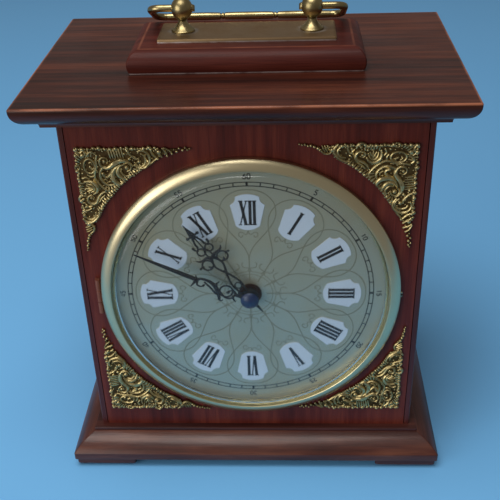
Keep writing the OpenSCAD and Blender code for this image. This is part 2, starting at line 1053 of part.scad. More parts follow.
// Hour hand pointing along +Y: pierced scrollwork between a ring, a lozenge and a spear point.
module hour_pattern() {
  bar = 44.65;
  knee = 24.3;
  cross = 18.9;
  join = 29.6;
  circle(4.4);
  stroke(0, -3, 0, -10.2, 0.9, 0.5);
  ring_2d(0, 9.4, 1.7);
  polygon([[-1.35, bar - 0.8], [1.35, bar - 0.8], [0.12, hour_len], [-0.12, hour_len]]);
  stroke(0, bar - 0.2, 0, join + 5, 0.7, stroke_w * 0.5);
  ring_2d(0, join + 2.4, 1.5);
  for (side = [0, 1])
    mirror([side, 0]) {
      stroke(1.6, 3, 1.9, 9, 1.1, stroke_w);
      stroke(1.9, 9, 0, cross, stroke_w, 1.2);
      stroke(0, cross, 2.2, knee, 1.2, stroke_w);
      stroke(2.2, knee, 0.7, join, stroke_w, 1.6);
      stroke(0.7, join, 3.4, join + 1.4, 1.9, 1.2);
      stroke(3.4, join + 1.4, 7.4, join + 2.4, 1.1, 0.6);
      ring_2d(4.6, 27.3, 2.75);
      stroke(7.2, 28.2, 8.7, 28, 0.9, 1.1);
      ring_2d(2.35, 35.2, 1.95);
      stroke(3.5, 37.1, 2, 40.2, 1, stroke_w);
      stroke(2, 40.2, 0.9, bar - 0.6, stroke_w, 1.2);
      stroke(3.6, 38.1, 4.4, 39.2, 1, 0.9);
      stroke(0, bar, 3, bar, 1.5, 1);
    }
}

// Minute hand pointing along +Y: long tapered bar, then an S scroll down to the boss.
module minute_pattern() {
  spur = 29.6;
  circle(4.4);
  polygon([[-1.3, spur - 1], [1.3, spur - 1], [0.3, minute_len], [-0.3, minute_len]]);
  stroke(-0.6, spur - 0.4, 1.7, spur + 0.4, 1.4, 0.6);
  stroke(-1, spur - 0.6, -4.5, spur + 0.3, 1.4, 0.6);
  stroke(-0.4, spur - 0.8, 1.4, 26.2, 2, 1.3);
  stroke(1.4, 26.2, 1.3, 22.3, 1.3, 1.6);
  stroke(1.3, 22.3, -0.7, 18.4, 1.6, 2.2);
  stroke(-0.7, 18.4, -3.9, 15.2, 2.2, 1.4);
  stroke(-3.9, 15.2, -5.7, 13.2, 1.4, 1.2);
  stroke(-0.2, 18.6, 3.2, 18.3, 1.1, 0.6);
  ring_2d(-1.5, 25.9, 1.5);
  stroke(-1.2, 24.3, -0.9, 22.6, 1.1, 0.9);
  stroke(-0.9, 22.6, -2.3, 19, 0.9, 0.9);
  stroke(-2.3, 19, -4.2, 15.8, 0.9, 0.9);
  ring_2d(0, 12.9, 3.3);
  stroke(-1.9, 14.8, -3.3, 11.8, 0.9, 0.9);
  stroke(-3.3, 11.8, -2.9, 9, 0.9, 1);
  stroke(-2.9, 9, -0.6, 7.6, 1, 1.2);
  stroke(-0.6, 7.6, 0, 3, 1.6, 2);
  stroke(1.6, 11.2, 0.4, 7.6, 0.9, 1.3);
  stroke(-2.4, 8.2, -3.7, 6.3, 0.9, 0.6);
}

module hour_hand() {
  color(black_gloss)
    at_dial(hour_out - hand_t / 2)
      rotate(-hour_angle)
        difference() {
          linear_extrude(hand_t)
            hour_pattern();
          translate([0, 0, -1])
            cylinder(hand_t + 2, r = tube_r + seat);
        }
}

module minute_hand() {
  color(black_gloss)
    at_dial(minute_out - hand_t / 2)
      rotate(-minute_angle)
        difference() {
          linear_extrude(hand_t)
            minute_pattern();
          translate([0, 0, -1])
            cylinder(hand_t + 2, r = arbor_r + seat);
        }
}

// Cap screwed over the end of the minute arbor: skirt and low dome.
module hand_cap() {
  low = minute_out + hand_t / 2 + seat;
  high = 2.3;
  dome = (cap_r * cap_r + high * high) / (2 * high);
  color(black_gloss)
    at_dial(low)
      difference() {
        intersection() {
          cylinder(high, r = cap_r);
          translate([0, 0, high - dome])
            sphere(dome);
        }
        translate([0, 0, -1])
          cylinder(2.2, r = arbor_r + seat);
      }
}

module bush_nut() {
  color(black_gloss)
    at_dial(-dial_in)
      difference() {
        union() {
          cylinder(0.4, r = nut_r);
          cylinder(nut_h, r = nut_r - 0.6, $fn = 6);
          translate([0, 0, 0.4])
            cylinder(nut_h - 0.4, r = nut_r - 1.3);
        }
        translate([0, 0, -1])
          cylinder(nut_h + 2, r = bush_r + seat);
      }
}

module movement_gasket() {
  color(pad_dark)
    at_dial(-dial_in - dial_t - gasket_t)
      difference() {
        cylinder(gasket_t, r = gasket_r);
        translate([0, 0, -1])
          cylinder(gasket_t + 2, r = bush_r + 0.1);
      }
}

// Square plate centred on the dial's axis, drawn at a distance behind the panel's face.
module move_plate(side, back, thick) {
  translate([-side / 2, back, dial_z - side / 2])
    cube([side, thick, side]);
}

// Movement case: tray with a bay for the cell, and the threaded bush through the dial.
module movement_case() {
  inner = move_s - 2 * move_wall;
  wall_z = dial_z + cell_z + cell_r + 0.4;
  color(plastic_black)
    difference() {
      union() {
        difference() {
          move_plate(move_s, move_y, move_t);
          move_plate(inner, move_y + move_wall, move_t);
        }
        translate([-inner / 2, move_y + move_wall, wall_z])
          cube([inner, move_t - 2 * move_wall - 5, 0.9]);
        at_dial(-(move_y - front_y) - 0.4)
          cylinder(move_y - front_y + 0.4 + 0.9, r = bush_r);
      }
      at_dial(-(move_y - front_y) - 5)
        cylinder(12, r = bush_bore);
    }
}

// Back cover over the wheels; the cell's bay below it stays open.
module movement_cover() {
  inner = move_s - 2 * move_wall - 0.1;
  low = dial_z + cell_z + cell_r + 0.5;
  high = dial_z + inner / 2;
  color(plastic_black)
    difference() {
      translate([-inner / 2, cover_y, low])
        cube([inner, move_wall, high - low]);
      translate([0, move_back + 1, dial_z])
        rotate([90, 0, 0])
          cylinder(move_wall + 2, r = arbor_r + 0.08);
    }
}

module circuit_board() {
  color(board_green)
    translate([-board_w / 2 - 2, cover_y - 1, dial_z + move_s / 2 - board_h - 3.5])
      cube([board_w, 1, board_h]);
}

// Coil on its core, with the two pole plates of the stepping motor.
module coil() {
  color(coil_red) {
    translate([18.5, move_y + 8, dial_z - 4])
      cylinder(13, r = 2.9);
    translate([15.4, move_y + 4.9, dial_z - 5])
      cube([6.2, 6.2, 1]);
    translate([15.4, move_y + 4.9, dial_z + 9])
      cube([6.2, 6.2, 1]);
    translate([17.8, move_y + move_wall, dial_z + 9])
      cube([1.4, 4.9, 1]);
  }
}

// One wheel with straight-sided teeth; the phase turns its first tooth from +X.
module gear(teeth, thick, phase) {
  pitch = teeth * tooth_m / 2;
  root = pitch - 1.1 * tooth_m;
  tip = pitch + 0.85 * tooth_m;
  step = 360 / teeth;
  wide = step * 0.30;
  thin = step * 0.13;
  linear_extrude(thick)
    union() {
      circle(root + 0.02);
      for (i = [0:teeth - 1])
        rotate(phase + i * step)
          polygon([
            [root * cos(wide) - 0.1, -root * sin(wide)],
            [tip * cos(thin), -tip * sin(thin)],
            [tip * cos(thin), tip * sin(thin)],
            [root * cos(wide) - 0.1, root * sin(wide)]
          ]);
    }
}

// Fixed pin that the motion wheel runs on.
module motion_post() {
  color(steel_grey)
    at_dial(-(move_y - front_y) - 7)
      translate([-motion_c, 0, 0])
        cylinder(7 - move_wall, r = 0.7);
}

module motion_wheel() {
  color(plastic_white)
    at_dial(-(move_y - front_y) - 5.4)
      translate([-motion_c, 0, 0])
        difference() {
          union() {
            gear(motion_teeth, 1.2, 180 / motion_teeth);
            translate([0, 0, 1.2])
              gear(motion_leaves, 2.4, 180 / motion_leaves);
          }
          translate([0, 0, -1])
            cylinder(6, r = 0.75);
        }
}

module hour_wheel() {
  color(plastic_white)
    at_dial(-(move_y - front_y) - 3.3)
      difference() {
        union() {
          gear(hour_teeth, 1.3, 0);
          cylinder(hour_out + hand_t / 2 + move_y - front_y + 3.3 + 0.5, r = tube_r);
        }
        translate([0, 0, -1])
          cylinder(30, r = tube_bore);
      }
}

// Minute arbor with its cannon pinion; it carries the hand in front and the knob behind.
module minute_arbor() {
  color(steel_grey) {
    translate([0, move_back + 2.5, dial_z])
      rotate([90, 0, 0])
        cylinder(move_back + 2.5 - front_y + minute_out + 1.1, r = arbor_r);
    at_dial(-(move_y - front_y) - 5.6)
      gear(minute_teeth, 1.6, 0);
  }
}

module set_knob() {
  thick = 4.5;
  color(plastic_black)
    translate([0, move_back + 0.6, dial_z])
      rotate([-90, 0, 0])
        difference() {
          cylinder(thick, r = knob_r);
          for (i = [0:15])
            rotate(i * 22.5)
              translate([knob_r + 0.3, 0, -1])
                cylinder(thick + 2, r = 0.7);
          translate([0, 0, -1])
            cylinder(1 + 1.9 + seat, r = arbor_r + seat);
        }
}

module battery() {
  color(cell_copper)
    translate([-(cell_top - 2.2), cell_y, dial_z + cell_z])
      rotate([0, 90, 0]) {
        cylinder(cell_len, r = cell_r);
        cylinder(cell_len + nub_len, r = 2.7);
      }
}

// Contact strips on the two end walls, with the spring's cup at the flat end.
module battery_contacts() {
  wall = move_s / 2 - move_wall;
  end = -(cell_top - 2.2) + cell_len + nub_len;
  color(steel_grey) {
    translate([-wall, cell_y - 4, dial_z + cell_z - 4])
      cube([0.4, 8, 8]);
    translate([-wall + 0.4 - e, cell_y, dial_z + cell_z])
      rotate([0, 90, 0])
        cylinder(wall - 0.4 - (cell_top - 2.2) - seat, r = 2.6);
    translate([wall - 0.4, cell_y - 4, dial_z + cell_z - 4])
      cube([0.4, 8, 8]);
    translate([end + seat, cell_y - 2, dial_z + cell_z - 2])
      cube([wall - 0.4 - end - seat + e, 4, 4]);
  }
}

module back_door() {
  w = door_w - 2 * door_gap;
  h = door_h - 2 * door_gap;
  color(wood_plain)
    difference() {
      translate([-w / 2, back_y - door_t, door_z + door_gap])
        cube([w, door_t, h]);
      door_screw_holes(1, 0.75);
      translate([w / 2 - 10, back_y - door_t - 1, door_mid])
        rotate([-90, 0, 0])
          cylinder(door_t + 2, r = 1.1);
      translate([w / 2 - catch_in, back_y - door_t - 1, door_z + door_h - catch_low - seat])
        cube([8, 1 + 0.8, 8 + 2 * seat]);
    }
}

module door_knob() {
  w = door_w - 2 * door_gap;
  color(brass_gold)
    translate([w / 2 - 10, back_y, door_mid])
      rotate([-90, 0, 0]) {
        cylinder(1, r = 4);
        cylinder(5, r = 1.8);
        translate([0, 0, 6])
          sphere(3.4);
        translate([0, 0, -door_t - 0.6])
          cylinder(door_t + 0.7, r = 1.05);
        translate([0, 0, -door_t - 1.4])
          cylinder(1.4 - seat, r = 2.6);
      }
}

// Screw places of the two door hinges; side -1 is the panel's leaf, side 1 the door's.
module door_screw_places(side) {
  for (z = hinge_zs)
    for (dz = [-6.5, 6.5])
      translate([door_pin_x + side * (leaf_w - 2.6), back_y, z + dz])
        children();
}

module door_screw_holes(side, r) {
  door_screw_places(side)
    rotate([90, 0, 0])
      translate([0, 0, -1])
        cylinder(6, r = r);
}

// Leaf and knuckles of a door hinge: the fixed side has the two outer knuckles.
module door_leaf(side) {
  len = leaf_h / 3 - 0.15;
  difference() {
    for (z = hinge_zs)
      translate([door_pin_x, 0, z]) {
        translate([side > 0 ? knuckle_r * 0.4 : -leaf_w, back_y, -leaf_h / 2])
          cube([leaf_w - knuckle_r * 0.4, leaf_t, leaf_h]);
        for (place = side > 0 ? [0] : [-1, 1])
          translate([0, hinge_y, place * leaf_h / 3])
            cylinder(len, r = knuckle_r, center = true);
      }
    for (z = hinge_zs) {
      translate([door_pin_x, hinge_y, z])
        cylinder(leaf_h + 2, r = pin_r + (side > 0 ? pin_gap : seat), center = true);
      if (side > 0)
        for (place = [-1, 1])
          translate([door_pin_x, hinge_y, z + place * leaf_h / 3])
            cylinder(len + 0.14, r = knuckle_r + 0.25, center = true);
      if (side < 0)
        translate([door_pin_x, hinge_y, z])
          cylinder(len + 0.14, r = knuckle_r + 0.25, center = true);
    }
    door_screw_places(side)
      rotate([90, 0, 0])
        translate([0, 0, -1])
          cylinder(3, r = 0.8);
  }
}

module door_hinge_fixed() {
  color(brass_gold)
    door_leaf(-1);
}

module door_hinge_moving() {
  color(brass_gold)
    door_leaf(1);
}

module door_hinge_pins() {
  color(brass_gold)
    for (z = hinge_zs)
      translate([door_pin_x, hinge_y, z])
        cylinder(leaf_h, r = pin_r, center = true);
}

// Countersunk-head screws of the door hinges' leaves.
module screw_bodies(side) {
  door_screw_places(side)
    rotate([90, 0, 0]) {
      translate([0, 0, -leaf_t - 0.5])
        cylinder(0.5, r = 1.4);
      translate([0, 0, -leaf_t])
        cylinder(leaf_t + 4, r = 0.7);
    }
}

module door_hinge_screws() {
  color(brass_gold)
    screw_bodies(-1);
}

module door_leaf_screws() {
  color(brass_gold)
    screw_bodies(1);
}

// Magnet block glued behind the back panel, against which the door closes.
module door_catch() {
  w = door_w - 2 * door_gap;
  color(plastic_black)
    translate([w / 2 - catch_in, back_y - door_t - 6, door_z + door_h - catch_low])
      difference() {
        cube([catch_in + catch_out, 6 - 0.05, 8]);
        translate([catch_in + door_gap, 6 - (panel_t - door_t), -1])
          cube([catch_out + 1, 10, 10]);
      }
}

module catch_plate() {
  w = door_w - 2 * door_gap;
  color(steel_grey)
    translate([w / 2 - catch_in + seat, back_y - door_t, door_z + door_h - catch_low])
      cube([8 - 2 * seat, 0.8 - seat, 8]);
}

base_board();
base_step();
feet();
foot_pads();
front_panel();
side_panel_left();
side_panel_right();
back_panel();
corner_blocks();
cove_board();
top_board();
handle_block();
handle_plate();
post_left();
post_right();
post_nuts();
bail_handle();
dial_plate();
dial_rim();
plaques();
mount_top_left();
mount_top_right();
mount_low_left();
mount_low_right();
mount_pins();
bezel();
bezel_glass();
glass_clips();
bezel_hinge_leaf();
bezel_hinge_pin();
bezel_hinge_screws();
movement_case();
movement_cover();
movement_gasket();
bush_nut();
circuit_board();
coil();
motion_post();
motion_wheel();
hour_wheel();
hour_hand();
minute_arbor();
minute_hand();
hand_cap();
set_knob();
battery();
battery_contacts();
back_door();
door_knob();
door_hinge_fixed();
door_hinge_moving();
door_hinge_pins();
door_hinge_screws();
door_leaf_screws();
door_catch();
catch_plate();
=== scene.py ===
"""Dressed look of the mantel table clock: wooden case, bail handle, glazed dial, pierced hands, cast corner mounts.

Every length in the classes is in millimetres in the part's own frame: X to the right, Y to the back, Z up from the
table. Pieces are numpy surfaces, turned into metres when their mesh is made.
"""

import logging
import math
from dataclasses import dataclass, field
from enum import Enum
from typing import Callable, ClassVar, Iterable, Sequence

import bpy
import numpy as np
from mathutils import Matrix


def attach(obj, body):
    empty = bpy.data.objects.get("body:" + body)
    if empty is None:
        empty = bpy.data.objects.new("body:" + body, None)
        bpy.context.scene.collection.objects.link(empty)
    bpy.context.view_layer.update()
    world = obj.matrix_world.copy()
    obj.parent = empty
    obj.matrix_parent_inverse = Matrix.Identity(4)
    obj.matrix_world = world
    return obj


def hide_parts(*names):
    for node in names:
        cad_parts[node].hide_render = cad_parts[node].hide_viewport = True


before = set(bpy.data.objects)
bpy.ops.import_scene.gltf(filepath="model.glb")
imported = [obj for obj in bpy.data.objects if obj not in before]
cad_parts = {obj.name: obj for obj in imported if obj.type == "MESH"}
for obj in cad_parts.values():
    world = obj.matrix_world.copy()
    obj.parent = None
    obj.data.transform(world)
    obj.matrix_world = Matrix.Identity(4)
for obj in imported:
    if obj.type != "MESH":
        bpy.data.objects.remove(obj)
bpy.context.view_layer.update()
LOG = logging.getLogger("clock")

Array = np.ndarray
Rows = Array | Sequence[Sequence[float]]
Place = Callable[[Array], Array]
Socket = bpy.types.NodeSocket
Value = Socket | float | Sequence[float]

MM = 0.001
FRONT_Y = -54.25  # face of the front panel
DIAL_Z = 106.6  # height of the dial's centre
BASE_HALF = (100.9, 69.15)  # half lengths of the base
TOP_HALF = (102.0, 69.75)  # half lengths of the top board
TOP_Z = 211.7  # upper side of the top board
BLOCK_H = 10.6  # height of the handle block on it
POST_X = 31.2  # a handle post's distance from the middle


class Body(str, Enum):
    """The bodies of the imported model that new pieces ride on."""

    CASE = "case"
    HANDLE = "handle"
    BEZEL = "glazed_bezel"
    DOOR = "rear_door"
    MINUTE = "minute_work"
    HOUR = "hour_work"


class Grain(Enum):
    """Axis that fibres or brush marks run along, by its place among X, Y and Z."""

    ALONG_X = 0
    ALONG_Z = 2


def quads_of(rows: int, cols: int, wrap_rows: bool = False) -> Array:
    """Faces of a grid of points, numbered row by row; every row closes on itself.

    Args:
        rows: number of rows of points.
        cols: number of points in a row.
        wrap_rows: joins the last row to the first.

    Returns:
        An array of four point numbers per face, facing outward when a row turns round the path's direction.
    """
    a, b = np.meshgrid(np.arange(rows if wrap_rows else rows - 1), np.arange(cols), indexing="ij")
    c, d = (a + 1) % rows, (b + 1) % cols
    return np.stack([a * cols + b, a * cols + d, c * cols + d, c * cols + b], -1).reshape(-1, 4)


@dataclass
class Shell:
    """Growing set of points and faces of one piece, in millimetres."""

    points: list[Array] = field(default_factory=list)
    faces: list[Array] = field(default_factory=list)
    count: int = 0

    def add(self, points: Array, *faces: Array) -> "Shell":
        """Adds points and faces that number them from 0.

        Args:
            points: array of three coordinates per point.
            faces: arrays of three or four point numbers per face.

        Returns:
            The shell itself.
        """
        self.points.append(np.asarray(points, float))
        self.faces.extend(np.asarray(f, int) + self.count for f in faces)
        self.count += len(points)
        return self

    def moved(self, place: Place) -> "Shell":
        """Gives a copy whose points went through place."""
        return Shell([place(np.concatenate(self.points))], list(self.faces), self.count)

    def flipped(self) -> "Shell":
        """Gives a copy whose faces look the other way."""
        return Shell(list(self.points), [f[:, ::-1] for f in self.faces], self.count)

    def join(self, other: "Shell") -> "Shell":
        """Adds all points and faces of another shell."""
        return self.add(np.concatenate(other.points), *other.faces)

    def make(self, name: str, body: Body, slot: str, finish: "Finish", smooth: float = 35.0,
             stands_for: Sequence[str] = ()) -> bpy.types.Object:
        """Makes the piece in Blender, hangs it on its body and hides the CAD nodes it stands for.

        Args:
            name: the piece's name.
            body: the body it rides on.
            slot: not used.
            finish: what its surface looks like.
            smooth: edges flatter than this many degrees are shaded smooth.
            stands_for: the CAD nodes that it replaces.

        Returns:
            The new object.
        """
        points = np.concatenate(self.points) * MM
        mesh = bpy.data.meshes.new(name)
        mesh.from_pydata(points.tolist(), [], [tuple(f) for block in self.faces for f in block.tolist()])
        mesh.validate()
        mesh.shade_smooth()
        mesh.set_sharp_from_angle(angle=math.radians(smooth))
        piece = bpy.data.objects.new(name, mesh)
        bpy.context.scene.collection.objects.link(piece)
        mesh.materials.append(finish.material())
        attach(piece, body.value)
        if stands_for:
            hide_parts(*stands_for)
        LOG.info("%s: %d faces", name, len(mesh.polygons))
        return piece


def full_turn(steps: int) -> Array:
    """Angles of one full turn in equal steps, in radians."""
    return np.arange(steps) * 2 * np.pi / steps


def arc(cx: float, cy: float, r: float, start: float, end: float, steps: int) -> Array:
    """Points of a circular arc; angles in degrees, anticlockwise positive."""
    q = np.radians(np.linspace(start, end, steps))
    return np.stack([cx + r * np.cos(q), cy + r * np.sin(q)], 1)


def oval(cx: float, cy: float, rx: float, ry: float, steps: int) -> Array:
    """Points of a closed ellipse, anticlockwise."""
    q = full_turn(steps)
    return np.stack([cx + rx * np.cos(q), cy + ry * np.sin(q)], 1)


def eased(top: float) -> list[list[float]]:
    """Insets and heights of the softened upper edge of a thin board whose upper side is at top."""
    return [[0.0, top - 0.5], [0.15, top - 0.15], [0.5, top]]


def smooth_line(points: Rows, per: int) -> Array:
    """Carries a smooth line through points, each value alike (place, then width or height where given).

    The line is a Catmull-Rom spline: between two points it is the cubic whose slope at each point is half the step
    between that point's two neighbours.

    Args:
        points: the points that the line passes through.
        per: number of steps between two of them.

    Returns:
        The line's points.
    """
    p = np.asarray(points, float)
    p = np.vstack([2 * p[0] - p[1], p, 2 * p[-1] - p[-2]])
    t = np.linspace(0, 1, per, endpoint=False)[None, :, None]
    a, b, c, d = (p[k:len(p) - 3 + k, None, :] for k in range(4))
    line = 0.5 * (2 * b + (c - a) * t + (2 * a - 5 * b + 4 * c - d) * t ** 2 + (3 * b - a - 3 * c + d) * t ** 3)
    return np.vstack([line.reshape(-1, p.shape[1]), p[-2]])


def flow(line: Array, closed: bool) -> Array:
    """Unit directions along a line of points, from the step between each point's two neighbours."""
    d = np.roll(line, -1, axis=0) - np.roll(line, 1, axis=0) if closed else np.gradient(line, axis=0)
    return d / np.maximum(np.linalg.norm(d, axis=1, keepdims=True), 1e-9)


def capped(grid: Array, start: Sequence[float], end: Sequence[float]) -> Shell:
    """Surface over a grid of rings, with a fan from each end ring to a pole.

    Args:
        grid: three coordinates of each point, ring by ring.
        start: the pole at the first ring.
        end: the pole at the last ring.

    Returns:
        The closed surface.
    """
    rings, sides = grid.shape[:2]
    j = np.arange(sides)
    k = (j + 1) % sides
    last = (rings - 1) * sides
    first_fan = np.stack([np.full(sides, rings * sides), k, j], 1)
    last_fan = np.stack([np.full(sides, rings * sides + 1), last + j, last + k], 1)
    return Shell().add(np.vstack([grid.reshape(-1, 3), [start, end]]), quads_of(rings, sides), first_fan, last_fan)


def tube(line: Array, half: Array | float, up: Array | float, low: Array | float, sides: int,
         closed: bool = False) -> Shell:
    """Relief stroke on a flat ground: a section of half width and height carried along a plane line.

    A section's point at angle q lies half * cos(q) to the left of the line, and up * sin(q) above it where the sine
    is positive or low * sin(q) under it where it is negative. An open stroke ends in three shrinking sections: one
    that stands out by a share s of the half width has sqrt(1 - s^2) of it.

    Args:
        line: x and y along the stroke.
        half: half width, one or at each point.
        up: height above the line's plane, one or at each point.
        low: depth under that plane, one or at each point.
        sides: number of points round the section.
        closed: joins the end to the start.

    Returns:
        The stroke, lying about the plane z = 0.
    """
    t = flow(line, closed)
    half, up, low = (np.broadcast_to(v, len(line)).astype(float) for v in (half, up, low))
    if not closed:
        out = np.array([0.35, 0.75, 0.97])
        shrink = np.sqrt(1 - out ** 2)
        sink = 0.4 + 0.6 * shrink
        line = np.vstack([(line[0] - t[0] * half[0] * out[:, None])[::-1], line,
                          line[-1] + t[-1] * half[-1] * out[:, None]])
        t = np.vstack([t[[0, 0, 0]], t, t[[-1, -1, -1]]])
        half = np.concatenate([half[0] * shrink[::-1], half, half[-1] * shrink])
        up = np.concatenate([up[0] * sink[::-1], up, up[-1] * sink])
        low = np.concatenate([low[[0, 0, 0]], low, low[[-1, -1, -1]]])
    q = full_turn(sides)
    left = np.stack([-t[:, 1], t[:, 0]], 1)
    flat = line[:, None, :] + left[:, None, :] * (half[:, None] * np.cos(q))[..., None]
    z = np.where(np.sin(q) > 0, up[:, None], low[:, None]) * np.sin(q)
    grid = np.concatenate([flat, z[..., None]], -1)
    if closed:
        return Shell().add(grid.reshape(-1, 3), quads_of(len(line), sides, wrap_rows=True))
    return capped(grid, (*line[0], 0), (*line[-1], 0))


def stroke(points: Rows, rise: float, low: float, per: int, sides: int) -> Shell:
    """Smooth relief stroke through (x, y, width) points; it rises by its width times rise."""
    line = smooth_line(points, per)
    return tube(line[:, :2], line[:, 2] / 2, np.maximum(line[:, 2] * rise, 0.05), low, sides)


def ribbon(line: Array, width: float, low: float, high: float, closed: bool = False) -> Shell:
    """Flat band along a plane line: a rectangle carried along it, square at its ends.

    Args:
        line: x and y along the band.
        width: width of the band.
        low: height of its underside.
        high: height of its upper side.
        closed: joins the end to the start.

    Returns:
        The band.
    """
    t = flow(line, closed)
    left = np.stack([-t[:, 1], t[:, 0]], 1) * (width / 2)
    corners = [(left, low), (left, high), (-left, high), (-left, low)]
    grid = np.stack([np.c_[line + side, np.full(len(line), z)] for side, z in corners], 1).reshape(-1, 3)
    faces = [quads_of(len(line), 4, wrap_rows=closed)[:, ::-1]]
    if not closed:
        end = (len(line) - 1) * 4
        faces += [np.array([[0, 1, 2, 3]]), np.array([[end + 3, end + 2, end + 1, end]])]
    return Shell().add(grid, *faces)


def prism(corners: Rows, low: float, high: float, heart: Sequence[float] | None = None) -> Shell:
    """Upright block on an outline given anticlockwise.

    Args:
        corners: x and y of the outline's corners.
        low: height of the underside.
        high: height of the upper side.
        heart: where the two end faces are fanned from, or None for the mean of the corners.

    Returns:
        The block.
    """
    c = np.asarray(corners, float)
    heart = c.mean(0) if heart is None else heart
    grid = np.stack([np.c_[c, np.full(len(c), z)] for z in (low, high)])
    return capped(grid, (*heart, low), (*heart, high))


def turned(profile: Rows, steps: int) -> Shell:
    """Turns a profile round the height axis: each point goes round a circle of its radius at its height.

    The profile goes up on the outside. It is closed to a ring unless it starts and ends on the axis.

    Args:
        profile: radius and height of each point.
        steps: number of points round the axis.

    Returns:
        The closed surface.
    """
    p = np.asarray(profile, float)
    q = full_turn(steps)
    on_axis = p[0, 0] == 0 and p[-1, 0] == 0
    rows = p[1:-1] if on_axis else p
    grid = np.stack([rows[:, :1] * np.cos(q), rows[:, :1] * np.sin(q), np.repeat(rows[:, 1:], steps, 1)], -1)
    if on_axis:
        return capped(grid, (0, 0, p[0, 1]), (0, 0, p[-1, 1]))
    return Shell().add(grid.reshape(-1, 3), quads_of(len(rows), steps, wrap_rows=True))


def bead(x: float, y: float, radii: tuple[float, float], rise: float, turn: float = 0.0, steps: int = 10) -> Shell:
    """Small domed bead: half an ellipsoid on a short upright foot that sinks into what carries it.

    Args:
        x: place of its middle to the right.
        y: place of its middle upward.
        radii: its two radii.
        rise: height of the dome.
        turn: degrees by which the radii are turned anticlockwise.
        steps: number of points round it.

    Returns:
        The bead.
    """
    foot = 0.3
    h = np.radians([0, 0, 28, 55, 76])
    rows = np.stack([np.cos(h), np.sin(h) * rise], 1)
    rows[0, 1] = -foot
    q, a = full_turn(steps), np.radians(turn)
    u, v = rows[:, :1] * np.cos(q) * radii[0], rows[:, :1] * np.sin(q) * radii[1]
    grid = np.stack([x + u * np.cos(a) - v * np.sin(a), y + u * np.sin(a) + v * np.cos(a),
                     np.repeat(rows[:, 1:], steps, 1)], -1)
    return capped(grid, (x, y, -foot), (x, y, rise))


def moulded(half_x: float, half_y: float, profile: Rows, corner: float,
            centre: Sequence[float] = (0.0, 0.0)) -> Shell:
    """Board with one edge profile on four mitred sides.

    Each profile point is an inset and a height; its row is the rectangle drawn in by that inset, with its corners
    rounded by a small radius. Both ends go a little way in flat, and are then closed by a fan.

    Args:
        half_x: half the length along X at inset 0.
        half_y: half the length along Y at inset 0.
        profile: insets and heights from the bottom up.
        corner: radius of the upright corners.
        centre: middle of the board.

    Returns:
        The closed board.
    """
    flat, per_corner = [1.2, 0], 5
    p = np.asarray(profile, float)
    p = np.vstack([p[0] + flat, p, p[-1] + flat])
    q = np.radians(np.concatenate([np.linspace(s, s + 90, per_corner) for s in (0, 90, 180, 270)]))
    sx, sy = np.repeat([[1, -1, -1, 1], [1, 1, -1, -1]], per_corner, axis=1)
    x = centre[0] + sx * (half_x - p[:, :1] - corner) + corner * np.cos(q)
    y = centre[1] + sy * (half_y - p[:, :1] - corner) + corner * np.sin(q)
    grid = np.stack([x, y, np.repeat(p[:, 1:], len(q), 1)], -1)
    return capped(grid, (*centre, p[0, 1]), (*centre, p[-1, 1]))


def swung(p: Array, degrees: float) -> tuple[Array, Array]:
    """First two coordinates of points after an anticlockwise turn about the third axis."""
    c, s = math.cos(math.radians(degrees)), math.sin(math.radians(degrees))
    return p[:, 0] * c - p[:, 1] * s, p[:, 0] * s + p[:, 1] * c


def spun(degrees: float) -> Place:
    """Map that turns a drawing clockwise in its own plane."""
    return lambda p: np.stack([*swung(p, -degrees), p[:, 2]], 1)


def on_dial(out: float = 0.0, turn: float = 0.0) -> Place:
    """Map from drawing coordinates (right, up, outward) about the dial's centre to the clock's front.

    Args:
        out: distance before the panel's face.
        turn: degrees clockwise, as a hand turns.

    Returns:
        The map.
    """

    def place(p: Array) -> Array:
        """Turns the drawing and stands it up."""
        x, z = swung(p, -turn)
        return np.stack([x, FRONT_Y - out - p[:, 2], DIAL_Z + z], 1)

    return place


def srgb(r: int, g: int, b: int) -> tuple[float, float, float, float]:
    """Linear colour of an 8-bit screen colour."""
    return (*(((c / 255 + 0.055) / 1.055) ** 2.4 if c > 10 else c / 255 / 12.92 for c in (r, g, b)), 1.0)


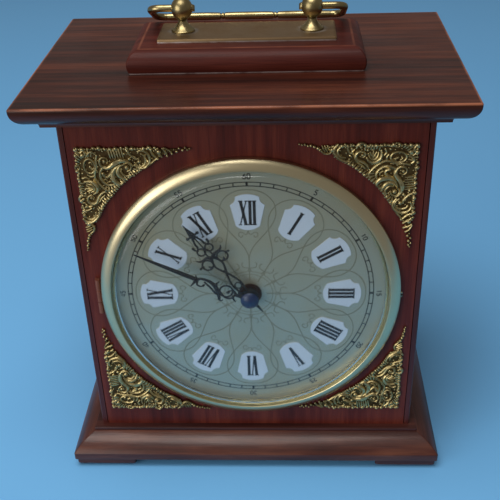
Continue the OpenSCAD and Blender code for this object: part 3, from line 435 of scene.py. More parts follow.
class Graph:
    """Material under construction: adds nodes and links them to one Principled shader."""

    def __init__(self, name: str) -> None:
        """Starts an empty material with its shader and the Object coordinates.

        Args:
            name: the material's name.
        """
        self.material = bpy.data.materials.new(name)
        self.material.use_nodes = True
        self.tree = self.material.node_tree
        self.tree.nodes.clear()
        self.shader = self.node("ShaderNodeBsdfPrincipled")
        self.output = self.node("ShaderNodeOutputMaterial", Surface=self.shader.outputs[0])
        self.place = self.node("ShaderNodeTexCoord").outputs["Object"]

    def feed(self, socket: Socket, value: Value) -> None:
        """Links an input to another node's output, or sets its value.

        Args:
            socket: the input.
            value: the output that it is linked to, or its value.
        """
        if isinstance(value, Socket):
            self.tree.links.new(value, socket)
        else:
            socket.default_value = value

    def node(self, kind: str, setup: dict[str, str] | None = None, **inputs: Value) -> bpy.types.Node:
        """Adds a node.

        Args:
            kind: Blender's name of the node type.
            setup: properties to set on it.
            inputs: socket values or links, with underscores for spaces; a name such as at0 is a socket number.

        Returns:
            The node.
        """
        n = self.tree.nodes.new(kind)
        for key, value in (setup or {}).items():
            setattr(n, key, value)
        for key, value in inputs.items():
            numbered = key[:2] == "at" and key[2:].isdigit()
            self.feed(n.inputs[int(key[2:]) if numbered else key.replace("_", " ")], value)
        return n

    def set(self, **values: Value) -> None:
        """Sets or links the shader's sockets, with underscores for spaces."""
        for key, value in values.items():
            self.feed(self.shader.inputs[key.replace("_", " ")], value)

    def axes(self) -> tuple[Socket, ...]:
        """Gives X, Y and Z of the Object coordinates."""
        return tuple(self.node("ShaderNodeSeparateXYZ", Vector=self.place).outputs)

    def vector(self, x: Socket, y: Socket, z: Socket) -> Socket:
        """Gives the vector of three values."""
        return self.node("ShaderNodeCombineXYZ", X=x, Y=y, Z=z).outputs[0]

    def math(self, kind: str, a: Value, b: Value = 0.0) -> Socket:
        """Adds a Math node and gives its result."""
        return self.node("ShaderNodeMath", {"operation": kind}, at0=a, at1=b).outputs[0]

    def ramp(self, factor: Socket, stops: Sequence[tuple[float, Sequence[float]]]) -> Socket:
        """Adds a colour ramp.

        Args:
            factor: what the ramp runs over.
            stops: position and colour of each stop, in order.

        Returns:
            The ramp's colour.
        """
        n = self.node("ShaderNodeValToRGB", Fac=factor)
        r = n.color_ramp
        while len(r.elements) < len(stops):
            r.elements.new(1.0)
        for e, (at, colour) in zip(r.elements, stops):
            e.position, e.color = at, colour
        return n.outputs["Color"]

    def noise(self, scale: float | Sequence[float], detail: float, rough: float = 0.5,
              shift: Sequence[float] = (0, 0, 0), vector: Socket | None = None) -> Socket:
        """Adds a noise texture.

        Args:
            scale: its fineness, one number or one along each axis.
            detail: number of its finer layers.
            rough: share of the finer layers.
            shift: offset along each axis, used where the scale has three numbers.
            vector: the coordinates, or None for the Object coordinates.

        Returns:
            The noise's value.
        """
        vector = self.place if vector is None else vector
        if not isinstance(scale, (int, float)):
            vector = self.node("ShaderNodeMapping", Vector=vector, Scale=scale, Location=shift).outputs[0]
            scale = 1.0
        return self.node("ShaderNodeTexNoise", Vector=vector, Scale=scale, Detail=detail, Roughness=rough).outputs[0]

    def mix(self, factor: Socket, a: Value, b: Value) -> Socket:
        """Adds a colour mix from a to b and gives its colour."""
        return self.node("ShaderNodeMix", {"data_type": "RGBA"}, at0=factor, at6=a, at7=b).outputs[2]

    def spread(self, value: Socket, low: float, high: float, to_low: float, to_high: float) -> Socket:
        """Adds a clamped Map Range node from low..high to to_low..to_high and gives its result."""
        return self.node("ShaderNodeMapRange", Value=value, at1=low, at2=high, at3=to_low, at4=to_high).outputs[0]

    def past(self, along: Socket, half: float) -> Socket:
        """Gives how far a coordinate lies beyond half a length in millimetres, on either side of the middle."""
        return self.math("SUBTRACT", self.math("ABSOLUTE", along), half * MM)

    def painted_seam_highlight(self, height: float) -> Socket:
        """Gives a patchy mask of a painted highlight: a pale line just over a joint that stands in for light caught
        along the seam.

        Args:
            height: the joint's height in millimetres.

        Returns:
            The mask, from 0 for none.
        """
        near = self.spread(self.axes()[2], (height + 0.25) * MM, (height + 0.7) * MM, 1.0, 0.0)
        patch = self.spread(self.noise((160, 160, 600), 3.0), 0.3, 0.55, 0.2, 0.95)
        return self.math("MULTIPLY", near, patch)

    def bump(self, height: Socket, distance: float) -> None:
        """Adds a bump over a distance, in metres, to the shader's normal."""
        self.set(Normal=self.node("ShaderNodeBump", Height=height, Distance=distance).outputs[0])


@dataclass(frozen=True)
class Finish:
    """What a surface looks like; its material is built once, at its first use."""

    name: str
    BUILT: ClassVar[dict[str, bpy.types.Material]] = {}

    def material(self) -> bpy.types.Material:
        """Gives the finish's material.

        Returns:
            The material, built at its first use.
        """
        if self.name not in self.BUILT:
            self.BUILT[self.name] = self.build()
        return self.BUILT[self.name]

    def build(self) -> bpy.types.Material:
        """Builds the material."""
        raise NotImplementedError


@dataclass(frozen=True)
class Wear:
    """Upper edge of a board where the stain has worn thin.

    half gives the board's half lengths, top its upper side, deep how far the wear goes down, and share how much of
    the stain is gone.
    """

    half: tuple[float, float]
    top: float
    deep: float
    share: float

    def mask(self, g: Graph) -> Socket:
        """Finds where the stain is worn: in the outermost millimetre, near the top, in patches.

        Args:
            g: the material under construction.

        Returns:
            The worn share of the stain.
        """
        x, y, z = g.axes()
        edge = g.spread(g.math("MAXIMUM", g.past(x, self.half[0]), g.past(y, self.half[1])),
                        -1.3 * MM, -0.7 * MM, 0.0, 1.0)
        high = g.spread(z, (self.top - 1.4 * self.deep) * MM, (self.top - 0.6 * self.deep) * MM, 0.0, self.share)
        patch = g.spread(g.noise((60, 60, 300), 3.0), 0.35, 0.6, 0.25, 1.0)
        return g.math("MULTIPLY", g.math("MULTIPLY", edge, high), patch)


@dataclass(frozen=True)
class Wood(Finish):
    """Stained and varnished hardwood: broad figure, fine dark pores and a clear coat.

    mitre gives half lengths of a mitred board, whose fibres turn with its sides. Where a joint height is given, a
    pale painted highlight runs just over that joint. worn is an edge where the stain has worn thin.
    """

    dark: Sequence[float]
    mid: Sequence[float]
    light: Sequence[float]
    grain: Grain = Grain.ALONG_X
    mitre: tuple[float, float] | None = None
    shift: float = 0.0
    gloss: float = 0.2
    sheen: float = 0.3
    rough: float = 0.4
    pore: float = 0.00006
    blotch: float = 5.0
    highlight_seam_z: float | None = None
    worn: Wear | None = None

    BROAD_ACROSS = 55
    FIGURE = (14, 260, 260)
    PORES = (70, 2600, 2600)
    SMEAR = (30, 30, 30)
    VARNISH_ROUGH = 0.16
    # Colour of the pale painted highlight just over a joint.
    SEAM_HIGHLIGHT_COLOUR = srgb(178, 160, 158)
    BARE = srgb(156, 96, 70)

    def build(self) -> bpy.types.Material:
        """Builds fibres stretched along the grain, with pores as fine streaks.

        A layer's fineness is given along the fibres and across them; the shifts keep the layers apart.

        Returns:
            The wood's material.
        """
        g = Graph(self.name)
        x, y, z = g.axes()
        along = g.vector(z, x, y) if self.grain is Grain.ALONG_Z else g.vector(x, y, z)
        if self.mitre:
            side = g.math("GREATER_THAN", g.past(x, self.mitre[0]), g.past(y, self.mitre[1]))
            along = g.node("ShaderNodeMix", {"data_type": "VECTOR"}, at0=side, at4=along,
                           at5=g.vector(y, x, z)).outputs[1]
        broad_scale = (self.blotch, self.BROAD_ACROSS, self.BROAD_ACROSS)
        broad = g.noise(broad_scale, 4.0, 0.55, (self.shift, self.shift * 3, 1.7), along)
        figure = g.noise(self.FIGURE, 4.0, 0.6, (2.3, self.shift, 5.1), along)
        pores = g.noise(self.PORES, 2.0, 0.5, (0.4, 3.1, self.shift), along)
        tone = g.math("ADD", g.math("MULTIPLY", broad, 0.55), g.math("MULTIPLY", figure, 0.45))
        colour = g.ramp(tone, [(0.36, self.dark), (0.5, self.mid), (0.66, self.light)])
        colour = g.mix(g.spread(pores, 0.52, 0.72, 0.0, 0.55), colour, self.dark)
        # Painted highlight: a pale patchy line just over the joint, standing in for light caught along the seam.
        if self.highlight_seam_z is not None:
            colour = g.mix(g.painted_seam_highlight(self.highlight_seam_z), colour, self.SEAM_HIGHLIGHT_COLOUR)
        if self.worn:
            colour = g.mix(self.worn.mask(g), colour, self.BARE)
        smear = g.spread(g.noise(self.SMEAR, 3.0), 0.3, 0.7, self.rough - 0.05, self.rough + 0.08)
        g.set(Base_Color=colour, Roughness=smear, Specular_IOR_Level=self.sheen, Coat_Weight=self.gloss,
              Coat_Roughness=self.VARNISH_ROUGH)
        g.bump(g.math("SUBTRACT", figure, pores), self.pore)
        return g.material


@dataclass(frozen=True)
class Metal(Finish):
    """Metal with faint clouds of tarnish and hairline wear; on the dial the clouds are painted reflections.

    Where a joint height is given, a pale painted highlight runs just over that joint. halo gives the distance of two
    posts from the middle and the radius of the ring of pale polish left round their feet.
    """

    colour: Sequence[float]
    tarnish_and_reflection: Sequence[float]
    rough: float = 0.22
    cloud: float = 60.0
    amount: float = 0.35
    metallic: float = 1.0
    scratch: float = 0.000004
    brushed: Grain | None = None
    highlight_seam_z: float | None = None
    halo: tuple[float, float] | None = None

    # Colour of the pale painted highlight just over a joint.
    SEAM_HIGHLIGHT_COLOUR = srgb(206, 200, 198)
    FOOT_RESIDUE = srgb(168, 158, 146)

    def hairlines(self) -> tuple[float, ...]:
        """Fineness of the hairlines along each axis: low along the brush marks and high across them.

        Returns:
            Fineness along X, Y and Z.
        """
        along, across, unbrushed = 60, 4000, 900
        if self.brushed is None:
            return (unbrushed,) * 3
        return tuple(along if axis == self.brushed.value else across for axis in range(3))

    def build(self) -> bpy.types.Material:
        """Builds clouds of tarnish that also dull the surface; on the dial the clouds are painted reflections of warm
        and cool surroundings.

        Returns:
            The metal's material.
        """
        g = Graph(self.name)
        mask = g.spread(g.noise(self.cloud, 4.0, 0.6), 0.42, 0.68, 0.0, self.amount)
        # Tarnish clouds; on the dial they are painted reflection, patches of warm tone mirrored from the
        # surroundings.
        colour = g.mix(mask, self.colour, self.tarnish_and_reflection)
        # Painted highlight: a pale patchy line just over the joint, standing in for light caught along the seam.
        if self.highlight_seam_z is not None:
            colour = g.mix(g.painted_seam_highlight(self.highlight_seam_z), colour, self.SEAM_HIGHLIGHT_COLOUR)
        if self.halo:
            x, y, _ = g.axes()
            off = g.past(x, self.halo[0])
            far = g.math("SQRT", g.math("ADD", g.math("MULTIPLY", off, off), g.math("MULTIPLY", y, y)))
            ring = g.spread(far, (self.halo[1] - 1.6) * MM, self.halo[1] * MM, 1.0, 0.0)
            patch = g.spread(g.noise(380.0, 3.0), 0.35, 0.6, 0.2, 0.9)
            colour = g.mix(g.math("MULTIPLY", ring, patch), colour, self.FOOT_RESIDUE)
        g.set(Base_Color=colour, Metallic=self.metallic,
              Roughness=g.spread(mask, 0.0, 1.0, self.rough, self.rough + 0.3))
        g.bump(g.noise(self.hairlines(), 2.0), self.scratch)
        return g.material


@dataclass(frozen=True)
class Coated(Finish):
    """Paint, print, enamel or moulded plastic: a colour with slight mottling and a fine surface grain."""

    colour: Sequence[float]
    other: Sequence[float]
    rough: float = 0.4
    coat: float = 0.0
    grain: float = 1500.0
    height: float = 0.000004
    sheen: float = 0.0

    MOTTLE = 90.0
    COAT_ROUGH = 0.08

    def build(self) -> bpy.types.Material:
        """Builds the mottled colour and the grain.

        Returns:
            The coating's material.
        """
        g = Graph(self.name)
        fine = g.noise(self.grain, 2.0)
        g.set(Base_Color=g.mix(g.noise(self.MOTTLE, 3.0), self.colour, self.other), Coat_Weight=self.coat,
              Coat_Roughness=self.COAT_ROUGH, Sheen_Weight=self.sheen,
              Roughness=g.spread(fine, 0.3, 0.7, self.rough - 0.03, self.rough + 0.05))
        g.bump(fine, self.height)
        return g.material


@dataclass(frozen=True)
class Glass(Finish):
    """Clear domed glass that lets lamp light through to the dial, with a soft mirror on its face."""

    name: str = "clear_glass"
    tint: tuple[float, float, float, float] = (0.97, 0.99, 0.98, 1)
    mirror: tuple[float, float, float, float] = (0.45, 0.45, 0.45, 1)

    def build(self) -> bpy.types.Material:
        """Builds glass, with a plain see-through shader for light on its way between lamps and dial.

        Returns:
            The glass's material.
        """
        g = Graph(self.name)
        g.set(Base_Color=self.tint, Roughness=g.spread(g.noise(35.0, 1.0), 0.3, 0.8, 0.1, 0.15),
              Transmission_Weight=1.0, IOR=1.46, Specular_Tint=self.mirror)
        clear = g.node("ShaderNodeBsdfTransparent", Color=self.tint)
        ray = g.node("ShaderNodeLightPath").outputs
        mirrored = g.math("SUBTRACT", ray["Is Glossy Ray"], ray["Is Transmission Ray"])
        lit = g.math("MAXIMUM", g.math("MAXIMUM", ray["Is Shadow Ray"], ray["Is Diffuse Ray"]), mirrored)
        both = g.node("ShaderNodeMixShader", at0=lit, at1=g.shader.outputs[0], at2=clear.outputs[0])
        g.feed(g.output.inputs["Surface"], both.outputs[0])
        return g.material


SLAB_TONES = (srgb(36, 14, 10), srgb(66, 29, 19), srgb(100, 50, 31))
TOP_WOOD = Wood("wood_top", *SLAB_TONES, shift=0.3, gloss=0.12, sheen=0.2, rough=0.36,
                worn=Wear(TOP_HALF, TOP_Z, 0.8, 0.9))
# The block's foot gets a pale painted highlight along its seam with the top board.
BLOCK_WOOD = Wood("wood_block", srgb(50, 15, 12), srgb(74, 28, 21), srgb(96, 42, 31), shift=4.2, gloss=0.05,
                  sheen=0.15, rough=0.5, highlight_seam_z=TOP_Z, worn=Wear((50.8, 22.45), TOP_Z + BLOCK_H, 0.16, 0.4))
COVE_WOOD = Wood("wood_cove", *SLAB_TONES, mitre=(94.0, 61.8), shift=2.9)
BASE_WOOD = Wood("wood_base", srgb(48, 21, 18), srgb(78, 39, 30), srgb(110, 64, 46), mitre=BASE_HALF, shift=7.7,
                 blotch=16.0, rough=0.36)
FOOT_WOOD = Wood("wood_feet", srgb(44, 19, 18), srgb(70, 33, 27), srgb(90, 48, 38), shift=1.4)
SIDE_WOOD = Wood("wood_side", srgb(52, 18, 18), srgb(76, 31, 27), srgb(98, 46, 36), grain=Grain.ALONG_Z, shift=5.5)
FRONT_WOOD = Wood("wood_front", srgb(60, 19, 15), srgb(86, 31, 24), srgb(112, 50, 36), grain=Grain.ALONG_Z,
                  shift=9.1, rough=0.42, gloss=0.12, sheen=0.2)
PLAIN_WOOD = Wood("wood_plain", srgb(150, 116, 78), srgb(186, 150, 106), srgb(208, 176, 132),
                  grain=Grain.ALONG_Z, gloss=0.0, rough=0.6, pore=0.0001)
DOOR_WOOD = Wood("wood_door", srgb(72, 34, 26), srgb(98, 50, 37), srgb(122, 70, 50), grain=Grain.ALONG_Z,
                 gloss=0.2, rough=0.45, shift=3.3)
BEZEL_BRASS = Metal("brass_bezel", srgb(214, 200, 162), srgb(184, 168, 132), rough=0.3, amount=0.3, cloud=40)
CAST_BRASS = Metal("brass_cast", srgb(196, 178, 128), srgb(108, 94, 62), rough=0.34, amount=0.75, cloud=420)
GROUND_BRASS = Metal("brass_ground", srgb(98, 80, 50), srgb(62, 46, 30), rough=0.5, amount=0.8, cloud=300)
ROD_BRASS = Metal("brass_rod", srgb(172, 156, 112), srgb(84, 72, 50), rough=0.24, amount=0.6, cloud=90)
# The plate's lower edge gets a pale painted highlight along its seam with the block.
PLATE_BRASS = Metal("brass_plate", srgb(150, 124, 92), srgb(104, 82, 60), rough=0.42, amount=0.7, cloud=45,
                    scratch=0.00001, highlight_seam_z=TOP_Z + BLOCK_H, halo=(POST_X, 8.2))
# The dial's second colour is painted reflection: wide warm clouds for surroundings mirrored in the polished plate.
DIAL_BRASS = Metal("brass_dial", srgb(172, 172, 157), srgb(166, 150, 116), rough=0.36, amount=0.7, cloud=13,
                   metallic=0.6, brushed=Grain.ALONG_Z)
LINE_BRASS = Metal("brass_engraved", srgb(136, 134, 116), srgb(124, 120, 100), rough=0.55, amount=0.5, metallic=0.5)
HARDWARE_BRASS = Metal("brass_hardware", srgb(206, 180, 120), srgb(150, 120, 72), rough=0.28, amount=0.4, cloud=120)
HINGE_BRONZE = Metal("bronze_hinge", srgb(150, 92, 72), srgb(112, 66, 54), rough=0.45, amount=0.6, cloud=120,
                     metallic=0.7)
NUT_BRONZE = Metal("bronze_nut", srgb(96, 62, 48), srgb(52, 36, 34), rough=0.35, amount=0.6, cloud=160)
PLAIN_STEEL = Metal("steel_plain", srgb(176, 176, 180), srgb(140, 138, 136), rough=0.3, amount=0.4)
COIL_WIRE = Metal("winding_copper", srgb(168, 84, 48), srgb(112, 48, 26), rough=0.3, brushed=Grain.ALONG_X,
                  scratch=0.00003)
CELL_SLEEVE = Metal("cell_sleeve", srgb(190, 138, 84), srgb(160, 108, 62), rough=0.3, amount=0.3)
BLACK_LACQUER = Coated("lacquer_black", srgb(2, 4, 12), srgb(5, 8, 18), rough=0.6, coat=0.05)
CAP_LACQUER = Coated("lacquer_cap", srgb(2, 20, 62), srgb(6, 28, 74), rough=0.4, coat=0.12)
PRINT_BLACK = Coated("print_black", srgb(2, 4, 14), srgb(5, 7, 18), rough=0.8)
TRACK_PRINT = Coated("print_track", srgb(8, 10, 14), srgb(16, 17, 20), rough=0.7)
ENAMEL = Coated("enamel_plaque", srgb(194, 204, 221), srgb(187, 198, 216), rough=0.3, coat=0.15)
PAD_FELT = Coated("pad_felt", srgb(34, 30, 30), srgb(48, 42, 40), rough=0.9, grain=2600, height=0.00004, sheen=0.4)
BLACK_PLASTIC = Coated("plastic_black", srgb(30, 30, 31), srgb(38, 38, 39), rough=0.45, height=0.00001)
WHITE_PLASTIC = Coated("plastic_white", srgb(226, 222, 208), srgb(214, 210, 194), rough=0.45)
CIRCUIT_GREEN = Coated("board_green", srgb(32, 96, 54), srgb(24, 78, 46), rough=0.3, coat=0.4)


def dress(finish: Finish, *nodes: str) -> None:
    """Gives CAD nodes that stay as they are a finish.

    Args:
        finish: the finish.
        nodes: names of the CAD nodes.
    """
    for name in nodes:
        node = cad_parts[name]
        for slot in node.material_slots:
            slot.material = finish.material()
        if not node.material_slots:
            node.data.materials.append(finish.material())
        LOG.info("%s: %s", name, finish.name)


@dataclass
class Case:
    """Wooden case: base with its step and feet, panels, cove and top board."""

    base: tuple[float, float] = BASE_HALF
    base_z: float = 5.3
    base_h: float = 12.6
    base_edge: float = 4.4
    swell: float = 19.7
    swell_run: float = 10.9
    step: tuple[float, float] = (90.0, 58.25)
    step_z: float = 17.9
    step_h: float = 1.8
    foot: tuple[float, float] = (16.5, 12.0)
    foot_in: float = 1.0
    foot_h: float = 4.3
    foot_round: float = 1.5
    top: tuple[float, float] = TOP_HALF
    cove_z: float = 199.3
    cove_h: float = 3.1
    cove_r: float = 2.75
    slab_h: float = 9.3
    slab_edge: float = 1.6
    slab_round: float = 7.45
    slab_arris: float = 0.8

    def base_profile(self) -> Array:
        """Inset and height of the base's edge: small arris, upright edge, then one circular swelling.

        The swelling is the arc of radius swell through the top of the upright edge and the point swell_run further
        in at the base's upper side; its centre lies on the middle line between the two, on the inner side.

        Returns:
            The profile's points.
        """
        rise = self.base_h - self.base_edge
        half = math.hypot(self.swell_run, rise) / 2
        back = math.sqrt(self.swell ** 2 - half ** 2)
        cx = -self.swell_run / 2 - back * rise / (2 * half)
        cz = self.base_edge + rise / 2 - back * self.swell_run / (2 * half)
        low = math.degrees(math.atan2(self.base_edge - cz, -cx))
        high = math.degrees(math.atan2(self.base_h - cz, -self.swell_run - cx))
        swelling = arc(cx, cz, self.swell, low, high, 14) * [-1, 1]
        arris = [[0.6, 0.0], [0.15, 0.2], [0.0, 0.6]]
        return np.vstack([arris, swelling, [self.swell_run + 0.4, self.base_h]]) + [0, self.base_z]

    def slab_profile(self) -> Array:
        """Inset and height of the top board's edge: a quarter round under a short upright with a worn arris.

        Returns:
            The profile's points.
        """
        r, arris = self.slab_round, self.slab_arris
        under = arc(-r, self.slab_h - self.slab_edge, r, -90, 0, 12) * [-1, 1]
        crown = arc(-arris, self.slab_h - arris, arris, 10, 90, 5) * [-1, 1]
        return np.vstack([[[r + 0.6, 0.0]], under, crown]) + [0, self.cove_z + self.cove_h]

    def cove_profile(self) -> Array:
        """Inset and height of the cove: a short upright, then a hollow out to the slab's underside.

        Returns:
            The profile's points.
        """
        low = self.slab_round + self.cove_r
        hollow = arc(-self.slab_round, self.cove_h - self.cove_r, self.cove_r, 180, 90, 9) * [-1, 1]
        return np.vstack([[[low + 0.05, 0.0]], hollow]) + [0, self.cove_z]

    def feet(self) -> Shell:
        """Four long low feet, rounded underneath, each set in a little from the base's corner.

        Returns:
            All four feet.
        """
        r, out = self.foot_round, Shell()
        profile = np.vstack([arc(-r, r, r, -90, 0, 6) * [-1, 1], [[0.0, self.foot_h]]])
        x, y = (half - self.foot_in - foot for half, foot in zip(self.base, self.foot))
        for centre in ((-x, -y), (-x, y), (x, -y), (x, y)):
            out.join(moulded(*self.foot, profile + [0, self.base_z - self.foot_h], 1.2, centre))
        return out

    def build(self) -> None:
        """Builds the boards and dresses the panels."""
        step_top = self.step_z + self.step_h
        step = [[0.3, self.step_z], [0.0, self.step_z + 0.2], *eased(step_top)]
        for shell, name, finish, smooth, node in (
                (moulded(*self.base, self.base_profile(), 0.7), "base_moulding", BASE_WOOD, 25, "base_board"),
                (moulded(*self.step, step, 0.4), "base_step_board", FOOT_WOOD, 25, "base_step"),
                (self.feet(), "foot_blocks", FOOT_WOOD, 30, "feet"),
                (moulded(*self.top, self.slab_profile(), 0.8), "top_slab", TOP_WOOD, 30, "top_board"),
                (moulded(*self.top, self.cove_profile(), 0.4), "cove_moulding", COVE_WOOD, 30, "cove_board")):
            shell.make(name, Body.CASE, "case_wood", finish, smooth, [node])
        dress(SIDE_WOOD, "side_panel_left", "side_panel_right")
        dress(FRONT_WOOD, "front_panel")
        dress(DOOR_WOOD, "back_panel", "back_door")
        dress(PLAIN_WOOD, "corner_blocks")
        dress(PAD_FELT, "foot_pads")


@dataclass
class Handle:
    """Block, plate, two turned posts and the bail that lies back between them."""

    block: tuple[float, float] = (56.0, 27.65)
    block_z: float = TOP_Z
    block_h: float = BLOCK_H
    block_mid: float = 4.1
    block_up: float = 6.5
    block_low: float = 9.0
    plate: tuple[float, float] = (42.6, 13.9)
    plate_h: float = 1.7
    post_x: float = POST_X
    post_z: float = 224.0
    ball_z: float = 10.8
    ball_r: float = 5.2
    rod_r: float = 1.75
    arm_x: float = 46.8
    reach: float = 25.0
    bend: float = 5.0
    pin_x: float = 26.6
    grip_r: float = 1.9
    grip_waist: float = 0.28
    ring_x: float = 13.3
    ring_r: float = 1.6
    groove_r: float = 1.15
    drop: float = 10.35

    def block_profile(self) -> Array:
        """Inset and height of the block's bullnose: a low arc and a high arc that meet on its widest line.

        Returns:
            The profile's points.
        """
        start = math.degrees(math.asin(-self.block_mid / self.block_low))
        low = arc(-self.block_low, self.block_mid, self.block_low, start, 0, 6)[:-1] * [-1, 1]
        high = arc(-self.block_up, self.block_mid, self.block_up, 0, 90, 12) * [-1, 1]
        return np.vstack([low, high, [[self.block_up + 1, self.block_h]]]) + [0, self.block_z]

    def post(self) -> Shell:
        """Turned post: stud down into the case, rim, slightly hollow cone, collar, egg-shaped ball.

        Returns:
            The post, its rim's underside at height 0.
        """
        stud = [[0, -31.0], [1.9, -31.0], [1.9, 0.0]]
        rim = [[5.4, 0.0], [5.7, 0.15], [5.7, 0.75], [5.55, 0.9]]
        hollow = smooth_line([[5.55, 0.9], [4.75, 1.45], [3.7, 2.35], [2.75, 3.45], [2.1, 4.5], [1.85, 4.95]], 3)
        collar = [[2.2, 5.05], [2.3, 5.2], [2.2, 5.35], [1.8, 5.45]]
        ball = arc(0, self.ball_z, self.ball_r, -68, 86, 22)
        ball[:, 1] -= 0.09 * np.maximum(self.ball_z - ball[:, 1], 0)
        return turned(np.vstack([stud, rim, hollow[1:], collar, ball, [[0, self.ball_z + self.ball_r]]]), 56)

    def bail_line(self) -> Array:
        """Plane line of the bail: pivots on y = 0, grip at y = reach, quarter bends between.

        Returns:
            The line from the right pivot to the left.
        """
        c, r = self.arm_x - self.bend, self.bend
        right = np.vstack([np.c_[np.linspace(self.pin_x, c, 4)[:-1], np.zeros(3)],
                           arc(c, r, r, -90, 0, 10), arc(c, self.reach - r, r, 0, 90, 10)])
        grip = np.c_[np.linspace(c, -c, 241)[1:-1], np.full(239, self.reach)]
        return np.vstack([right, grip, right[::-1] * [-1, 1]])

    def bail_radius(self, line: Array) -> Array:
        """Rod radius along the bail.

        On the grip it is that of three slightly swelling lengths: grip_r less grip_waist times t^4, where t goes
        from 0 in a length's middle to 1 at its ends. A bead between two grooves parts them.

        Args:
            line: the bail's plane line.

        Returns:
            The radius at each point of the line.
        """
        x = np.abs(line[:, 0])
        end = self.arm_x - self.bend
        on_grip = (line[:, 1] > self.reach - 0.01) & (x < end - 0.01)
        side_mid, side_half = (end + self.ring_x) / 2, (end - self.ring_x) / 2
        t = np.where(x < self.ring_x, x / self.ring_x, np.abs(x - side_mid) / side_half)
        off = np.abs(x - self.ring_x)
        radius = np.where(off < 1.0, self.groove_r, self.grip_r - self.grip_waist * t ** 4)
        radius = np.where(off < 0.45, self.ring_r, radius)
        return np.where(on_grip, radius, self.rod_r)

    def bail(self) -> Shell:
        """Bail rod, drawn flat and then laid back from its pivots until it has dropped by drop.

        Returns:
            The bail in its place.
        """
        line = self.bail_line()
        r = self.bail_radius(line)
        tilt = math.asin(self.drop / self.reach)
        c, s = math.cos(tilt), math.sin(tilt)
        pivot = self.post_z + self.ball_z
        return tube(line, r, r, r, 20).moved(lambda p: np.stack(
            [p[:, 0], c * p[:, 1] + s * p[:, 2], pivot - s * p[:, 1] + c * p[:, 2]], 1))

    def build(self) -> None:
        """Builds block, plate, posts and bail."""
        moulded(*self.block, self.block_profile(), 0.8).make(
            "grip_block", Body.CASE, "case_wood", BLOCK_WOOD, 30, ["handle_block"])
        z = self.block_z + self.block_h
        moulded(*self.plate, [[0.0, z], *eased(z + self.plate_h)], 0.8).make(
            "grip_plate", Body.CASE, "brass", PLATE_BRASS, 30, ["handle_plate"])
        for side, name in ((-1, "left"), (1, "right")):
            self.post().moved(lambda p, s=side: p + [s * self.post_x, 0, self.post_z]).make(
                f"turned_post_{name}", Body.CASE, "brass", ROD_BRASS, 35, [f"post_{name}"])
        self.bail().make("bail_rod", Body.HANDLE, "brass", ROD_BRASS, 40, ["bail_handle"])
        dress(PLAIN_STEEL, "post_nuts")


